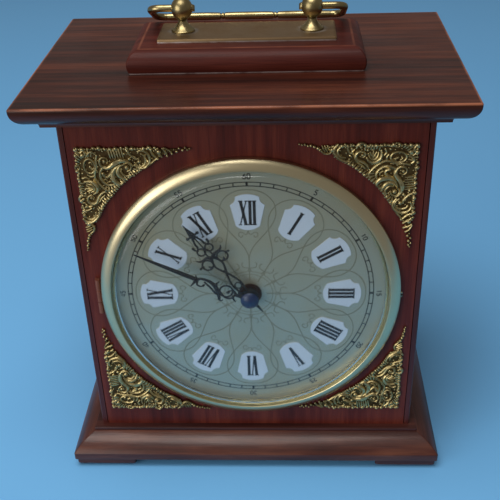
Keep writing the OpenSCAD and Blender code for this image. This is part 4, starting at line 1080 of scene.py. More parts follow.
@dataclass
class GlazedBezel:
    """Brass bezel with its nib and hinge knuckle, the domed glass and the clips that hold it."""

    outer: float = 75.4
    sight: float = 70.0
    edge: float = 2.8
    swell: float = 6.6
    swell_from: float = 40.0
    swell_to: float = 85.0
    lip: float = 1.7
    glass_r: float = 72.4
    gap: float = 0.1
    hinge_x: float = -76.8
    hinge_out: float = 1.6
    apex: float = 12.4
    crown: float = 420.0
    crown_r: float = 56.0
    shoulder: float = 12.0
    soft: float = 1.0
    thick: float = 1.2
    nib: tuple[float, float] = (0.95, 1.6)
    tab: tuple[float, float] = (1.0, 3.0)
    tab_in: float = 1.7

    NIB_EDGE = [[0.2, 0.3], [0.0, 0.5], [0.0, 1.1], [0.35, 1.4]]
    TAB_EDGE = [[0.1, -0.4], [0.0, -0.3], [0.0, 0.3], [0.1, 0.4]]
    KNUCKLE = [[0.66, -3.3], [1.05, -3.3], [1.2, -3.1], [1.2, 3.1], [1.05, 3.3], [0.66, 3.3]]

    def ring_profile(self) -> Array:
        """Radius and height of the bezel: an upright edge, then a wide band that swells gently up to the sight.

        Returns:
            The profile's points.
        """
        start = math.radians(self.swell_from)
        cx = self.outer - 0.2 - self.swell * math.cos(start)
        cz = self.edge + 0.4 - self.swell * math.sin(start)
        band = arc(cx, cz, self.swell, self.swell_from, self.swell_to, 20)
        rise = band[-1, 1]
        rebate = [[self.glass_r + 0.2, self.lip], [self.glass_r + 0.2, 0.25]]
        rim = [[self.outer - 0.3, 0.25], [self.outer - 0.06, 0.32], [self.outer, 0.5], [self.outer, self.edge],
               [self.outer - 0.05, self.edge + 0.22]]
        inner = [[self.sight + 0.3, rise - 0.03], [self.sight + 0.08, rise - 0.25], [self.sight, self.lip]]
        return np.vstack([rebate, rim, band, inner])

    def glass_line(self, inset: float) -> Array:
        """Radius and height of one face of the glass.

        The crown's height is apex - r^2 / (2 crown). The shoulder's is that of a circle of its radius round a centre
        on the panel. The face takes the lower of the two, blended over about a millimetre: the height is
        -soft * log(exp(-crown / soft) + exp(-shoulder / soft)). Points lie closer towards the shoulder's foot.

        Args:
            inset: how far the face lies inside the outer one.

        Returns:
            Radius and height from the middle outward.
        """
        last = self.sight - self.gap - inset
        r = np.concatenate([np.linspace(0, self.crown_r, 16)[:-1],
                            last - (last - self.crown_r) * np.linspace(1, 0, 60) ** 1.6])
        r = np.unique(np.round(r, 5))
        crown = self.apex - inset - r ** 2 / (2 * self.crown)
        beyond = np.maximum(r - (self.sight - self.gap - self.shoulder), 0)
        fall = 0.1 + np.sqrt(np.maximum((self.shoulder - inset) ** 2 - beyond ** 2, 0))
        both = -self.soft * np.log(np.exp(-crown / self.soft) + np.exp(-fall / self.soft))
        return np.stack([r, np.where(r >= last - 1e-6, self.lip - 0.9, both)], 1)

    def glass(self) -> Shell:
        """Closed wall of the glass, turned: the inner face outward, a flat flange, and the outer face back.

        Returns:
            The glass, its middle line on the height axis.
        """
        outer, inner = self.glass_line(0.0), self.glass_line(self.thick)
        foot, seat = self.lip - 0.95, self.lip - 0.02
        flange = [[inner[-1, 0], foot], [self.glass_r, foot], [self.glass_r, seat], [outer[-1, 0], seat]]
        return turned(np.vstack([inner[inner[:, 1] > foot], flange, outer[outer[:, 1] > self.lip][::-1]]), 192)

    def build(self) -> None:
        """Builds the ring with nib and knuckle, and the glass, and dresses hinge and clips."""
        ring = turned(self.ring_profile(), 160).moved(on_dial())
        nib = moulded(*self.nib, self.NIB_EDGE, 0.6, (self.outer + 0.05, 0.0)).moved(on_dial())
        knuckle = turned(self.KNUCKLE, 24).moved(lambda p: p + [self.hinge_x, FRONT_Y - self.hinge_out, DIAL_Z])
        tab = moulded(*self.tab, self.TAB_EDGE, 0.2, (self.hinge_x + self.tab_in, 0.0)).moved(on_dial(self.hinge_out))
        ring.join(nib).make("bezel_ring", Body.BEZEL, "brass", BEZEL_BRASS, 24, ["bezel"])
        knuckle.join(tab).make("bezel_knuckle", Body.BEZEL, "brass", HINGE_BRONZE, 24)
        self.glass().moved(on_dial()).make("domed_glass", Body.BEZEL, "glass", Glass(), 40, ["bezel_glass"])
        dress(HARDWARE_BRASS, "glass_clips")
        dress(HINGE_BRONZE, "bezel_hinge_leaf", "bezel_hinge_pin", "bezel_hinge_screws")


@dataclass
class Numeral:
    """Roman numeral drawn with flat bars: thick and thin strokes with thin serifs.

    low and high are the radii of its foot and head, and pitch narrows its letters.
    """

    text: str
    low: float
    high: float
    pitch: float = 1.0

    FEET = {"I": 2.05, "V": 4.0, "X": 4.5}
    THICK = 1.5
    THIN = 0.6
    SERIF = 0.6
    THICK_IN = 0.95
    THIN_IN = 0.7

    def bar(self, x0: float, x1: float, width: float) -> Array:
        """Corners of a bar from x0 at the foot to x1 at the head."""
        h = width / 2
        return np.array([[x0 - h, self.low], [x0 + h, self.low], [x1 + h, self.high], [x1 - h, self.high]])

    def serif(self, x: float, half: float, top: bool) -> Array:
        """Corners of a serif round x at the head or the foot."""
        y = self.high - self.SERIF if top else self.low
        return np.array([[x - half, y], [x + half, y], [x + half, y + self.SERIF], [x - half, y + self.SERIF]])

    def outlines(self) -> Iterable[Array]:
        """Corners of every flat bar of the numeral, centred on x = 0.

        Returns:
            Four corners of each bar.
        """
        widths = [self.FEET[c] * self.pitch for c in self.text]
        x = -sum(widths) / 2
        thick_bar, thick_serif, thin_serif = self.THICK * self.pitch, 1.05 * self.pitch, 0.75 * self.pitch
        for c, w in zip(self.text, widths):
            mid, thick, thin = x + w / 2, w / 2 - self.THICK_IN, w / 2 - self.THIN_IN
            if c == "I":
                yield self.bar(mid, mid, thick_bar)
                for top in (True, False):
                    yield self.serif(mid, w / 2 + 0.02, top)
            elif c == "V":
                yield self.bar(mid - 0.1, mid - thick, thick_bar)
                yield self.bar(mid + 0.2, mid + thin, self.THIN)
                yield self.serif(mid - thick, thick_serif, True)
                yield self.serif(mid + thin, thin_serif, True)
            else:
                yield self.bar(mid + w / 2 - 1.0, mid - w / 2 + 1.0, thick_bar)
                yield self.bar(mid - thin, mid + thin, self.THIN)
                for top, side in ((True, 1), (False, -1)):
                    yield self.serif(mid - side * thick, thick_serif, top)
                    yield self.serif(mid + side * thin, thin_serif, top)
            x += w

    def shell(self, low: float, high: float) -> Shell:
        """Makes all bars thin blocks.

        Args:
            low: height of their underside.
            high: height of their upper side.

        Returns:
            The numeral.
        """
        out = Shell()
        for corners in self.outlines():
            out.join(prism(corners, low, high))
        return out


@dataclass
class SmallNumber:
    """Small printed number of one thin line; a digit's box is one unit wide and BOX units high."""

    tall: float = 2.6
    weight: float = 0.52

    BOX = 1.7
    PITCH = 1.32
    LINES = {
        "0": np.vstack([arc(0.5, 0.5, 0.45, 180, 360, 9), arc(0.5, 1.2, 0.45, 0, 180, 9), [[0.05, 0.5]]]),
        "1": np.array([[0.3, 1.35], [0.6, 1.65], [0.6, 0.05]]),
        "2": np.vstack([arc(0.5, 1.2, 0.43, 170, -20, 9), [[0.1, 0.06], [0.95, 0.06]]]),
        "3": np.vstack([arc(0.48, 1.27, 0.38, 160, -80, 9), arc(0.48, 0.47, 0.43, 80, -160, 10)]),
        "4": np.array([[0.75, 0.05], [0.75, 1.65], [0.08, 0.5], [1.0, 0.5]]),
        "5": np.vstack([[[0.9, 1.63], [0.2, 1.63], [0.14, 0.9]], arc(0.48, 0.52, 0.46, 120, -150, 11)]),
        "6": np.vstack([[[0.8, 1.6], [0.35, 1.25]], arc(0.5, 0.5, 0.45, 160, 520, 16)]),
    }

    def draw(self, text: str, low: float, high: float) -> Shell:
        """Draws a number centred on the origin.

        Args:
            text: the digits.
            low: underside of the print.
            high: upper side of the print.

        Returns:
            The printed number.
        """
        unit = self.tall / self.BOX
        out = Shell()
        for i, c in enumerate(text):
            across = (i - (len(text) - 1) / 2) * self.PITCH * unit
            out.join(ribbon((self.LINES[c] - [0.5, self.BOX / 2]) * unit + [across, 0], self.weight, low, high))
        return out


@dataclass
class Dial:
    """Dial plate with engraved loops, minute track, numbers and the plaques' numerals.

    Bands that cross each other stand at slightly different heights, so that no two faces coincide.
    """

    face: float = -0.8
    sunk: float = 0.06
    print_rise: float = 0.03
    cut_rise: float = 0.012
    plaque: float = 0.3
    plaque_sunk: float = 0.05
    track: tuple[float, float] = (60.1, 62.1)
    track_line: float = 0.5
    bar: float = 0.55
    five_bar: float = 1.1
    five_longer: float = 0.15
    number_r: float = 65.0
    numeral: tuple[float, float] = (39.4, 52.6)
    rings: tuple[float, float] = (11.4, 13.0)
    ring_line: float = 0.36

    LOOP = [(8.2, 0.0), (14.5, 0.0), (19.5, 0.0), (23.0, 0.5), (27.0, 2.2), (31.0, 5.2), (35.0, 8.5), (39.0, 11.3),
            (43.0, 13.1), (47.0, 13.5), (51.5, 12.4), (55.5, 9.0), (57.7, 4.5), (58.2, 0.0)]
    SCROLL = [(36.3, 0.0), (34.6, 0.5), (34.2, 1.6), (35.3, 2.9), (35.2, 4.2), (33.9, 4.7), (32.7, 4.0), (32.8, 3.0),
              (33.7, 2.8)]
    CUSP = [(13.2, -0.9), (14.8, 0.0), (15.2, 1.8), (15.6, 3.2), (17.4, 3.7), (18.4, 3.0)]
    LINES = ((LOOP, 0.56), (SCROLL, 0.46), (CUSP, 0.46))
    HOURS = ("I", "II", "III", "IIII", "V", "VI", "VII", "VIII", "IX", "X", "XI", "XII")
    NARROW = {"VIII": 0.9}

    def engraving(self) -> Shell:
        """Twelve loops round the plaques, paired scrolls before them and a scalloped ring round the centre.

        Returns:
            The engraving about the dial's centre.
        """
        low, high = self.face - self.sunk, self.face + self.cut_rise
        one, out = Shell(), Shell()
        for side, lift in ((-1, 0.0), (1, 0.004)):
            for points, width in self.LINES:
                line = smooth_line([(side * across, away) for away, across in points], 7)
                one.join(ribbon(line, width, low, high + lift))
        for k in range(12):
            out.join(one.moved(spun(30 * k)))
        for r in self.rings:
            out.join(ribbon(oval(0, 0, r, r, 72), self.ring_line, low, high + 0.006, closed=True))
        return out

    def minute_track(self) -> Shell:
        """Two fine rings with a bar for every minute and a thicker one for every fifth.

        Returns:
            The track about the dial's centre.
        """
        low, high = self.face - self.sunk, self.face + self.print_rise
        out = Shell()
        for r in self.track:
            out.join(ribbon(oval(0, 0, r, r, 288), self.track_line, low, high, closed=True))
        for k in range(60):
            half, longer = (self.bar / 2, 0.0) if k % 5 else (self.five_bar / 2, self.five_longer)
            a, b = self.track[0] - longer, self.track[1] + longer
            out.join(prism([[-half, a], [half, a], [half, b], [-half, b]], low, high).moved(spun(6 * k)))
        return out

    def minute_numbers(self) -> Shell:
        """Numbers 5 to 60 outside the track, their feet to the centre.

        Returns:
            The numbers about the dial's centre.
        """
        out, number = Shell(), SmallNumber()
        for k in range(1, 13):
            drawn = number.draw(str(5 * k), self.face - self.sunk, self.face + self.print_rise)
            out.join(drawn.moved(lambda p: p + [0, self.number_r, 0]).moved(spun(30 * k)))
        return out

    def numerals(self) -> Shell:
        """The twelve hours on their plaques, each with its foot to the centre.

        Returns:
            The numerals about the dial's centre.
        """
        out, top = Shell(), self.face + self.plaque
        for k, text in enumerate(self.HOURS):
            one = Numeral(text, *self.numeral, self.NARROW.get(text, 1.0))
            out.join(one.shell(top - self.plaque_sunk, top + self.print_rise).moved(spun(30 * (k + 1))))
        return out

    def build(self) -> None:
        """Builds engraving, prints and numerals, and dresses plate, rim and plaques."""
        dress(DIAL_BRASS, "dial_plate")
        dress(BEZEL_BRASS, "dial_rim")
        dress(ENAMEL, "plaques")
        for shell, name, slot, finish in (
                (self.engraving(), "dial_engraving", "dial_brass", LINE_BRASS),
                (self.minute_track(), "minute_track", "black_lacquer", TRACK_PRINT),
                (self.minute_numbers(), "minute_numbers", "black_lacquer", TRACK_PRINT),
                (self.numerals(), "chapter_numerals", "black_lacquer", PRINT_BLACK)):
            shell.moved(on_dial()).make(name, Body.CASE, slot, finish)


@dataclass
class Hands:
    """Pierced hour and minute hands, their cap and the nut on the dial."""

    hour_out: float = 3.4
    hour_turn: float = -36.85
    minute_out: float = 5.8
    minute_turn: float = -64.24
    thick: float = 0.5
    bold: float = 1.22
    boss_r: float = 4.4
    cap_r: float = 4.6
    cap_h: float = 2.3

    HOUR_STROKES = [
        [(0, -3, 1.6), (0, -7, 1.1), (0, -10.2, 0.5)],
        [(0, 43.4, 1.0), (0, 44.4, 2.8), (0, 45.6, 2.6), (0, 48.5, 1.3), (0, 51.9, 0.2)],
        [(0, 35.0, 0.7), (0, 38, 0.5), (0, 41, 0.5), (0, 44, 0.9)],
    ]
    HOUR_LOOPS = [(0, 9.4, 1.65, 1.7, 0.6), (0, 32.4, 1.35, 2.9, 0.65)]
    HOUR_SIDE_STROKES = [
        [(1.3, 3.4, 1.2), (2.0, 7, 0.9), (2.4, 10, 0.85), (1.7, 13.8, 0.9), (0.75, 16.8, 1.0), (0.1, 18.8, 1.2),
         (1.2, 21.2, 1.0), (2.25, 24.2, 0.9), (1.75, 27.0, 1.0), (0.6, 29.6, 1.5)],
        [(0.4, 29.7, 1.9), (2.6, 31.0, 1.2), (4.8, 31.0, 1.0), (6.5, 31.4, 0.9), (7.5, 32.5, 0.5)],
        [(3.2, 25.4, 0.6), (4.2, 25.6, 1.0), (4.6, 26.5, 0.6)],
        [(7.0, 27.9, 0.8), (7.9, 28.2, 0.7), (8.7, 27.9, 1.1)],
        [(3.3, 36.8, 0.8), (4.2, 37.7, 0.8), (4.4, 39.0, 1.2)],
        [(3.2, 36.6, 0.7), (2.1, 38.4, 0.9), (2.05, 40.2, 0.9), (1.3, 42.4, 0.9), (0.5, 44.2, 1.4)],
        [(0.4, 44.7, 1.5), (1.8, 44.6, 0.9), (3.0, 44.7, 1.4)],
        [(0.9, 43.6, 0.6), (1.5, 42.9, 0.8)],
    ]
    HOUR_SIDE_LOOPS = [(4.6, 27.5, 2.75, 2.75, 0.75), (2.4, 35.1, 2.0, 2.0, 0.7)]
    MINUTE_STROKES = [
        [(0, 28.8, 1.9), (0, 35, 2.1), (0, 48, 1.6), (0, 60, 0.75), (0, 62.1, 0.35)],
        [(-0.5, 29.2, 1.6), (0.8, 29.3, 1.1), (1.9, 30.0, 0.5)],
        [(-0.4, 29.0, 1.8), (-2.4, 29.4, 1.0), (-4.7, 30.0, 0.5)],
        [(-0.4, 29.0, 1.8), (1.1, 27.6, 1.3), (1.7, 25.4, 1.25), (1.65, 22.3, 1.5), (0.5, 19.4, 1.9),
         (-1.2, 17.4, 1.9), (-3.3, 15.8, 1.6), (-4.9, 14.7, 1.3), (-6.0, 14.2, 1.0), (-6.2, 12.9, 0.6),
         (-5.4, 12.5, 0.4)],
        [(0.2, 18.5, 1.2), (2.0, 18.9, 0.9), (3.5, 18.3, 0.5)],
        [(-0.8, 28.0, 0.9), (-2.4, 27.7, 0.8), (-2.9, 26.3, 0.75), (-2.5, 24.9, 0.75), (-1.5, 24.4, 1.1)],
        [(0.2, 24.6, 0.8), (-0.5, 22.9, 0.85), (-1.4, 20.8, 0.9), (-2.5, 18.9, 0.9), (-3.6, 17.0, 0.9)],
        [(1.6, 10.2, 0.6), (0.7, 11.6, 0.8), (-0.3, 11.6, 1.1), (-0.4, 12.4, 0.7)],
        [(-1.7, 15.2, 0.8), (-3.3, 12.9, 0.85), (-3.5, 10.4, 0.9), (-2.3, 8.7, 0.95), (-0.5, 8.1, 1.2),
         (0.1, 5.5, 1.6), (0, 3.0, 2.2)],
        [(2.6, 10.9, 0.8), (1.5, 9.0, 0.9), (0.1, 7.6, 1.3)],
        [(-1.8, 8.7, 0.9), (-3.0, 7.4, 0.8), (-3.7, 6.3, 0.5)],
        [(0.3, 6.6, 0.9), (1.8, 6.8, 0.7), (2.9, 7.7, 0.4)],
    ]
    MINUTE_LOOPS = [(0, 12.9, 3.3, 3.3, 0.85)]

    def pierced(self, strokes: Sequence[Rows], loops: Rows) -> Shell:
        """Cuts a hand from its sheet: a round boss with a slightly pointed rim, smooth tapered strokes, and ovals.

        Args:
            strokes: x, y and width of each stroke's points.
            loops: middle, two radii and line width of each oval.

        Returns:
            The hand, pointing up from its centre.
        """
        half, r = self.thick / 2, self.boss_r
        out = turned([[0, -half], [r - 0.1, -half], [r, 0], [r - 0.1, half], [0, half]], 32)
        for points in strokes:
            line = smooth_line(points, 6)
            out.join(tube(line[:, :2], line[:, 2] / 2 * self.bold, half, half, 10))
        for x, y, rx, ry, width in loops:
            out.join(tube(oval(x, y, rx, ry, 32), width / 2 * self.bold, half, half, 10, closed=True))
        return out

    def hour(self) -> Shell:
        """Hour hand: ring, lozenge, paired rings, teardrop and spear point, alike on both sides.

        Returns:
            The hand, pointing up from its centre.
        """
        strokes, loops = list(self.HOUR_STROKES), list(self.HOUR_LOOPS)
        for side in (-1, 1):
            strokes += [[(side * x, y, width) for x, y, width in points] for points in self.HOUR_SIDE_STROKES]
            loops += [(side * x, *rest) for x, *rest in self.HOUR_SIDE_LOOPS]
        return self.pierced(strokes, loops)

    def minute(self) -> Shell:
        """Minute hand: long taper, then an S scroll with its rings down to the boss."""
        return self.pierced(self.MINUTE_STROKES, self.MINUTE_LOOPS)

    def cap(self) -> Shell:
        """Cap over the arbor: short skirt and a low dome.

        Returns:
            The cap, its underside at height 0.
        """
        dome = (self.cap_r ** 2 + self.cap_h ** 2) / (2 * self.cap_h)
        top = math.degrees(math.asin(self.cap_r / dome))
        line = arc(0, self.cap_h - dome, dome, 90 - top * 0.97, 88, 12)
        base = [[0, 0.02], [self.cap_r - 0.25, 0.02], [self.cap_r - 0.03, 0.12]]
        return turned(np.vstack([base, line, [[0, self.cap_h]]]), 48)

    def build(self) -> None:
        """Builds both hands and the cap, and dresses the nut."""
        self.hour().moved(on_dial(self.hour_out, self.hour_turn)).make(
            "hour_hand_pierced", Body.HOUR, "black_lacquer", BLACK_LACQUER, 50, ["hour_hand"])
        self.minute().moved(on_dial(self.minute_out, self.minute_turn)).make(
            "minute_hand_pierced", Body.MINUTE, "black_lacquer", BLACK_LACQUER, 50, ["minute_hand"])
        self.cap().moved(on_dial(self.minute_out + self.thick / 2)).make(
            "arbor_cap", Body.MINUTE, "black_lacquer", CAP_LACQUER, 40, ["hand_cap"])
        dress(NUT_BRONZE, "bush_nut")


@dataclass
class CornerMount:
    """Cast rococo corner mount, drawn once and turned into the four corners.

    The drawing's unit is UNIT millimetres, x runs inward along the mount's long arm and y down its other arm, both
    from a point EDGE units outside the casting's corner.
    """

    half_x: float = 78.8
    up: float = 80.9
    down: float = 74.6
    ground: float = 0.8
    highest: float = 2.3

    UNIT = 0.038
    EDGE = 52.6

    OUTLINE = [(84, 84), (1200, 80), (1205, 104), (1070, 150), (950, 222), (868, 272), (778, 330), (680, 410),
               (608, 482), (533, 548), (465, 622), (404, 708), (312, 838), (230, 972), (176, 1084), (128, 1190),
               (98, 1300), (82, 1300)]
    SCROLLS = [
        [(255, 432, 18), (222, 446, 20), (190, 425, 22), (180, 385, 24), (205, 350, 26), (255, 343, 30),
         (300, 372, 36), (318, 420, 42), (300, 470, 46), (262, 515, 50), (232, 570, 52), (222, 625, 46),
         (232, 680, 36), (262, 722, 28), (300, 748, 20)],
        [(310, 442, 26), (304, 395, 30), (330, 360, 32), (382, 338, 34), (442, 334, 34), (500, 362, 34),
         (540, 410, 32), (548, 460, 28), (530, 505, 24)],
        [(392, 372, 40), (430, 388, 34), (438, 424, 34), (405, 458, 36), (360, 492, 38), (312, 538, 36),
         (282, 592, 28)],
        [(288, 572, 22), (322, 526, 34), (372, 496, 44), (424, 488, 50), (478, 497, 50), (520, 532, 46),
         (536, 575, 38), (512, 604, 30)],
        [(276, 640, 20), (292, 592, 32), (332, 560, 40), (382, 552, 44), (428, 576, 44), (456, 616, 38),
         (468, 644, 28)],
        [(332, 604, 18), (372, 596, 28), (408, 618, 32), (428, 656, 28), (420, 690, 22)],
        [(262, 640, 18), (254, 690, 24), (290, 726, 26), (340, 716, 26), (364, 676, 22)],
        [(96, 702, 34), (130, 716, 28), (165, 748, 28), (196, 788, 30), (200, 828, 26)],
        [(285, 772, 24), (318, 820, 32), (319, 880, 36), (286, 930, 36), (222, 965, 34), (150, 955, 32),
         (106, 915, 30), (90, 862, 28), (106, 824, 24)],
        [(250, 776, 22), (294, 812, 28), (298, 862, 30), (264, 900, 30), (210, 912, 28), (162, 900, 26),
         (140, 868, 22)],
        [(304, 905, 22), (272, 962, 28), (236, 1006, 28), (196, 1052, 26)],
        [(96, 985, 24), (146, 1006, 30), (190, 1048, 26)],
        [(88, 1058, 26), (130, 1078, 28), (178, 1112, 24)],
        [(74, 1132, 24), (118, 1162, 26), (162, 1176, 22)],
        [(66, 1150, 18), (100, 1212, 22), (140, 1236, 20)],
        [(500, 128, 26), (496, 190, 34), (520, 246, 42), (576, 282, 42), (636, 266, 36), (668, 224, 26)],
        [(532, 150, 18), (542, 202, 26), (576, 240, 30), (620, 234, 26), (642, 198, 20)],
        [(592, 222, 20), (574, 182, 24), (556, 148, 20)],
        [(594, 220, 20), (594, 176, 26), (592, 134, 20)],
        [(598, 222, 20), (616, 186, 24), (630, 152, 20)],
        [(745, 206, 18), (714, 216, 20), (690, 190, 24), (700, 155, 28), (742, 138, 32), (786, 156, 36),
         (806, 198, 38), (788, 240, 38), (740, 264, 36), (690, 292, 34), (656, 330, 30), (640, 368, 22)],
        [(812, 236, 18), (770, 284, 26), (722, 318, 26), (690, 356, 20)],
        [(690, 92, 22), (694, 52, 28), (736, 32, 30), (780, 50, 28), (796, 96, 22)],
        [(1020, 46, 26), (1058, 86, 34), (1063, 140, 40), (1030, 196, 40), (975, 245, 36), (915, 268, 30),
         (880, 262, 22)],
        [(986, 76, 22), (1020, 120, 30), (1015, 170, 32), (976, 206, 30), (930, 216, 22)],
        [(932, 46, 26), (905, 82, 28), (890, 132, 28), (868, 168, 22)],
        [(1085, 70, 22), (1090, 130, 26), (1130, 165, 28), (1190, 155, 26), (1226, 108, 20)],
        [(1108, 132, 16), (1128, 98, 24), (1140, 62, 18)],
        [(1140, 140, 16), (1160, 100, 24), (1174, 64, 18)],
        [(1172, 136, 16), (1192, 100, 22), (1206, 66, 16)],
        [(150, 318, 22), (220, 300, 28), (292, 302, 30), (366, 276, 30), (440, 262, 30), (508, 292, 30),
         (572, 342, 30), (622, 402, 26), (640, 442, 20)],
        [(178, 182, 20), (128, 216, 28), (100, 262, 30), (132, 296, 24)],
        [(84, 64, 26), (112, 112, 26), (90, 162, 26), (120, 196, 22)],
        [(300, 222, 30), (330, 240, 26), (318, 268, 20)],
        [(262, 250, 24), (240, 236, 20), (250, 214, 18)],
        [(410, 180, 22), (432, 214, 26), (426, 250, 20)],
        [(452, 110, 26), (440, 150, 26), (462, 190, 22)],
        [(820, 110, 22), (846, 140, 26), (836, 178, 22)],
        [(180, 790, 26), (166, 762, 22), (176, 738, 18)],
        [(470, 400, 26), (500, 420, 22), (502, 452, 18)],
    ]
    BALLS = [(222, 402, 24), (312, 672, 34), (200, 715, 24), (132, 662, 22), (236, 832, 28), (205, 1060, 22),
             (84, 1050, 18), (168, 1180, 18), (140, 1240, 17), (112, 1298, 20), (72, 1330, 16), (94, 1372, 20),
             (66, 1404, 14), (92, 1430, 17), (76, 1456, 13), (722, 184, 22), (742, 82, 22), (896, 76, 22),
             (858, 52, 20), (1256, 92, 24), (1300, 74, 21), (1340, 58, 20), (1376, 62, 17), (1410, 46, 17),
             (1446, 48, 15), (1478, 38, 13), (458, 58, 26), (560, 62, 22), (604, 66, 22), (508, 62, 18),
             (408, 62, 20), (378, 72, 18), (644, 74, 18), (690, 446, 24), (738, 402, 22), (790, 356, 24),
             (832, 316, 22), (878, 296, 22), (534, 582, 22), (470, 656, 20), (404, 742, 20), (352, 826, 20),
             (76, 362, 20), (72, 432, 22), (80, 690, 22), (74, 742, 18), (72, 800, 20), (76, 892, 20), (72, 942, 20),
             (80, 986, 22), (66, 150, 20), (76, 66, 28), (1232, 118, 18), (850, 100, 18), (660, 120, 20),
             (650, 170, 18), (350, 300, 16), (300, 318, 16)]
    RINGS = [(290, 215, 96, 68, 32), (312, 62, 32, 28, 20)]
    FANS = [(290, 210, 128, 200, 100, 196, 8, 30), (450, 420, 120, 180, -62, 14, 6, 32),
            (330, 690, 62, 112, -86, -6, 4, 30), (740, 60, 56, 80, 196, 262, 3, 22),
            (960, 130, 96, 128, 150, 215, 4, 24)]
    LEAST = (66, 62)
    UPRIGHT_FLUTES = range(474, 652, 32)
    LEVEL_FLUTES = range(520, 700, 34)
    FLUTE_START, FLUTE_END, FLUTE_STEP = 14, 10, 37.0
    EDGE_BEADS = range(84, 1060, 68)
    LOWER_EDGE = [(1060, 190), (960, 262), (880, 300), (790, 360), (690, 440), (620, 510), (545, 575), (480, 650),
                  (420, 735), (330, 862), (252, 985)]
    PINS = [(3.6, 3.6), (39.2, 2.2), (2.2, 39.2)]
    HEART = (6.5, -6.5)

    def to_mm(self, points: Rows) -> Array:
        """Turns drawing units to millimetres: x right and y up, so that y turns negative; widths only scale.

        Args:
            points: x and y, and a width or radius, of each point.

        Returns:
            The same in millimetres.
        """
        p = np.asarray(points, float) * self.UNIT
        p[:, 0] -= self.EDGE * self.UNIT
        p[:, 1] = self.EDGE * self.UNIT - p[:, 1]
        return p

    def outline(self) -> Array:
        """The casting's outline in millimetres."""
        return self.to_mm([(x, y, 0) for x, y in self.OUTLINE])[:, :2]

    def flute(self, x0: float, y0: float, x1: float, y1: float, width: float, out: Shell) -> None:
        """Adds one short swelling rib between two points."""
        mid = ((x0 + x1) / 2, (y0 + y1) / 2, width)
        out.join(stroke(self.to_mm([(x0, y0, width * 0.5), mid, (x1, y1, width * 0.95)]), 0.75, 0.3, 3, 6))

    def ball(self, x: float, y: float, r: float, share: float, more: float, out: Shell) -> None:
        """Adds a round bead that rises by a share of its radius and a little more, in millimetres."""
        (cx, cy, cr), = self.to_mm([(x, y, r)])
        out.join(bead(cx, cy, (cr, cr), cr * share + more))

    def scrolls(self, out: Shell) -> None:
        """Adds the scrolls, balls and rings of the drawing.

        Args:
            out: the shell that they are added to.
        """
        for points in self.SCROLLS:
            out.join(stroke(self.to_mm([(x, y, w * (1.1 + w / 200)) for x, y, w in points]), 0.72, 0.35, 4, 8))
        for x, y, r in self.BALLS:
            self.ball(x, y, r, 1.05, 0.15, out)
        for x, y, rx, ry, w in self.RINGS:
            (cx, cy, half), = self.to_mm([(x, y, w / 2)])
            line = oval(cx, cy, rx * self.UNIT, ry * self.UNIT, 28)
            out.join(tube(line, half, half * 1.5, 0.3, 8, closed=True))

    def flutes(self, out: Shell) -> None:
        """Adds the fans of flutes, a row along each arm and one across the lower edge.

        Sines and cosines of a rib's number or place make neighbours differ a little, as in a hand-cut pattern.

        Args:
            out: the shell that they are added to.
        """
        for x, y, r0, r1, a0, a1, n, w in self.FANS:
            for a in np.radians(np.linspace(a0, a1, n)):
                x1 = max(x + r1 * math.cos(a), self.LEAST[0])
                y1 = max(y - r1 * math.sin(a), self.LEAST[1])
                self.flute(x + r0 * math.cos(a), y - r0 * math.sin(a), x1, y1, w, out)
        for y in self.UPRIGHT_FLUTES:
            self.flute(190, y + 12, 84 + 8 * math.sin(y), y - 6, 29, out)
        for x in self.LEVEL_FLUTES:
            self.flute(x + 6, 118 - 12 * math.sin(x), x - 4, 66 + 5 * math.cos(x), 28, out)
        edge = smooth_line(self.LOWER_EDGE, 6)
        far = np.concatenate([[0], np.cumsum(np.linalg.norm(np.diff(edge, axis=0), axis=1))])
        at = np.arange(self.FLUTE_START, far[-1] - self.FLUTE_END, self.FLUTE_STEP)
        for k, (x, y) in enumerate(zip(np.interp(at, far, edge[:, 0]), np.interp(at, far, edge[:, 1]))):
            deep = 36 + 12 * math.sin(k * 1.7)
            self.flute(x - deep, y - deep * 0.75, x + 4 * math.cos(k), y + 4, 31, out)

    def edge_beads(self, out: Shell) -> None:
        """Adds large and small beads by turns along both outer edges.

        Args:
            out: the shell that they are added to.
        """
        for k, at in enumerate(self.EDGE_BEADS):
            big, small = 24 + 6 * math.sin(k * 2.1), 14 + 3 * math.cos(k * 1.7)
            for x, y, r in ((at, 60 + 7 * math.cos(k), big), (at + 35, 70, small),
                            (64 + 7 * math.sin(k * 1.3), at, big), (72, at + 34, small)):
                self.ball(x, y, r, 1.1, 0.0, out)

    @staticmethod
    def inside(p: Array, outline: Array) -> bool:
        """Tells whether a point lies inside: a line to its right crosses the outline an odd number of times.

        Args:
            p: the point.
            outline: corners of the outline in order.

        Returns:
            True for a point inside.
        """
        a, b = outline, np.roll(outline, -1, axis=0)
        level = (a[:, 1] > p[1]) != (b[:, 1] > p[1])
        fall = np.where(b[:, 1] == a[:, 1], 1e-9, b[:, 1] - a[:, 1])
        at = a[:, 0] + (p[1] - a[:, 1]) * (b[:, 0] - a[:, 0]) / fall
        return int((level & (at > p[0])).sum()) % 2 == 1

    def filling(self, out: Shell) -> None:
        """Adds small beads between the scrolls, scattered evenly inside the outline with a fixed seed.

        Args:
            out: the shell that they are added to.
        """
        rng = np.random.default_rng(7)
        tries, apart, least, most = 4000, 1.9, [0.8, -53], [53, -0.8]
        outline = self.outline()
        spots: list[Array] = []
        for p in rng.uniform(least, most, (tries, 2)):
            if not self.inside(p, outline) or any(np.hypot(*(p - s)) < apart for s in spots):
                continue
            spots.append(p)
            r = rng.uniform(0.32, 0.52)
            out.join(bead(p[0], p[1], (r, r * rng.uniform(0.7, 1.4)), 0.42, rng.uniform(0, 180), 7))

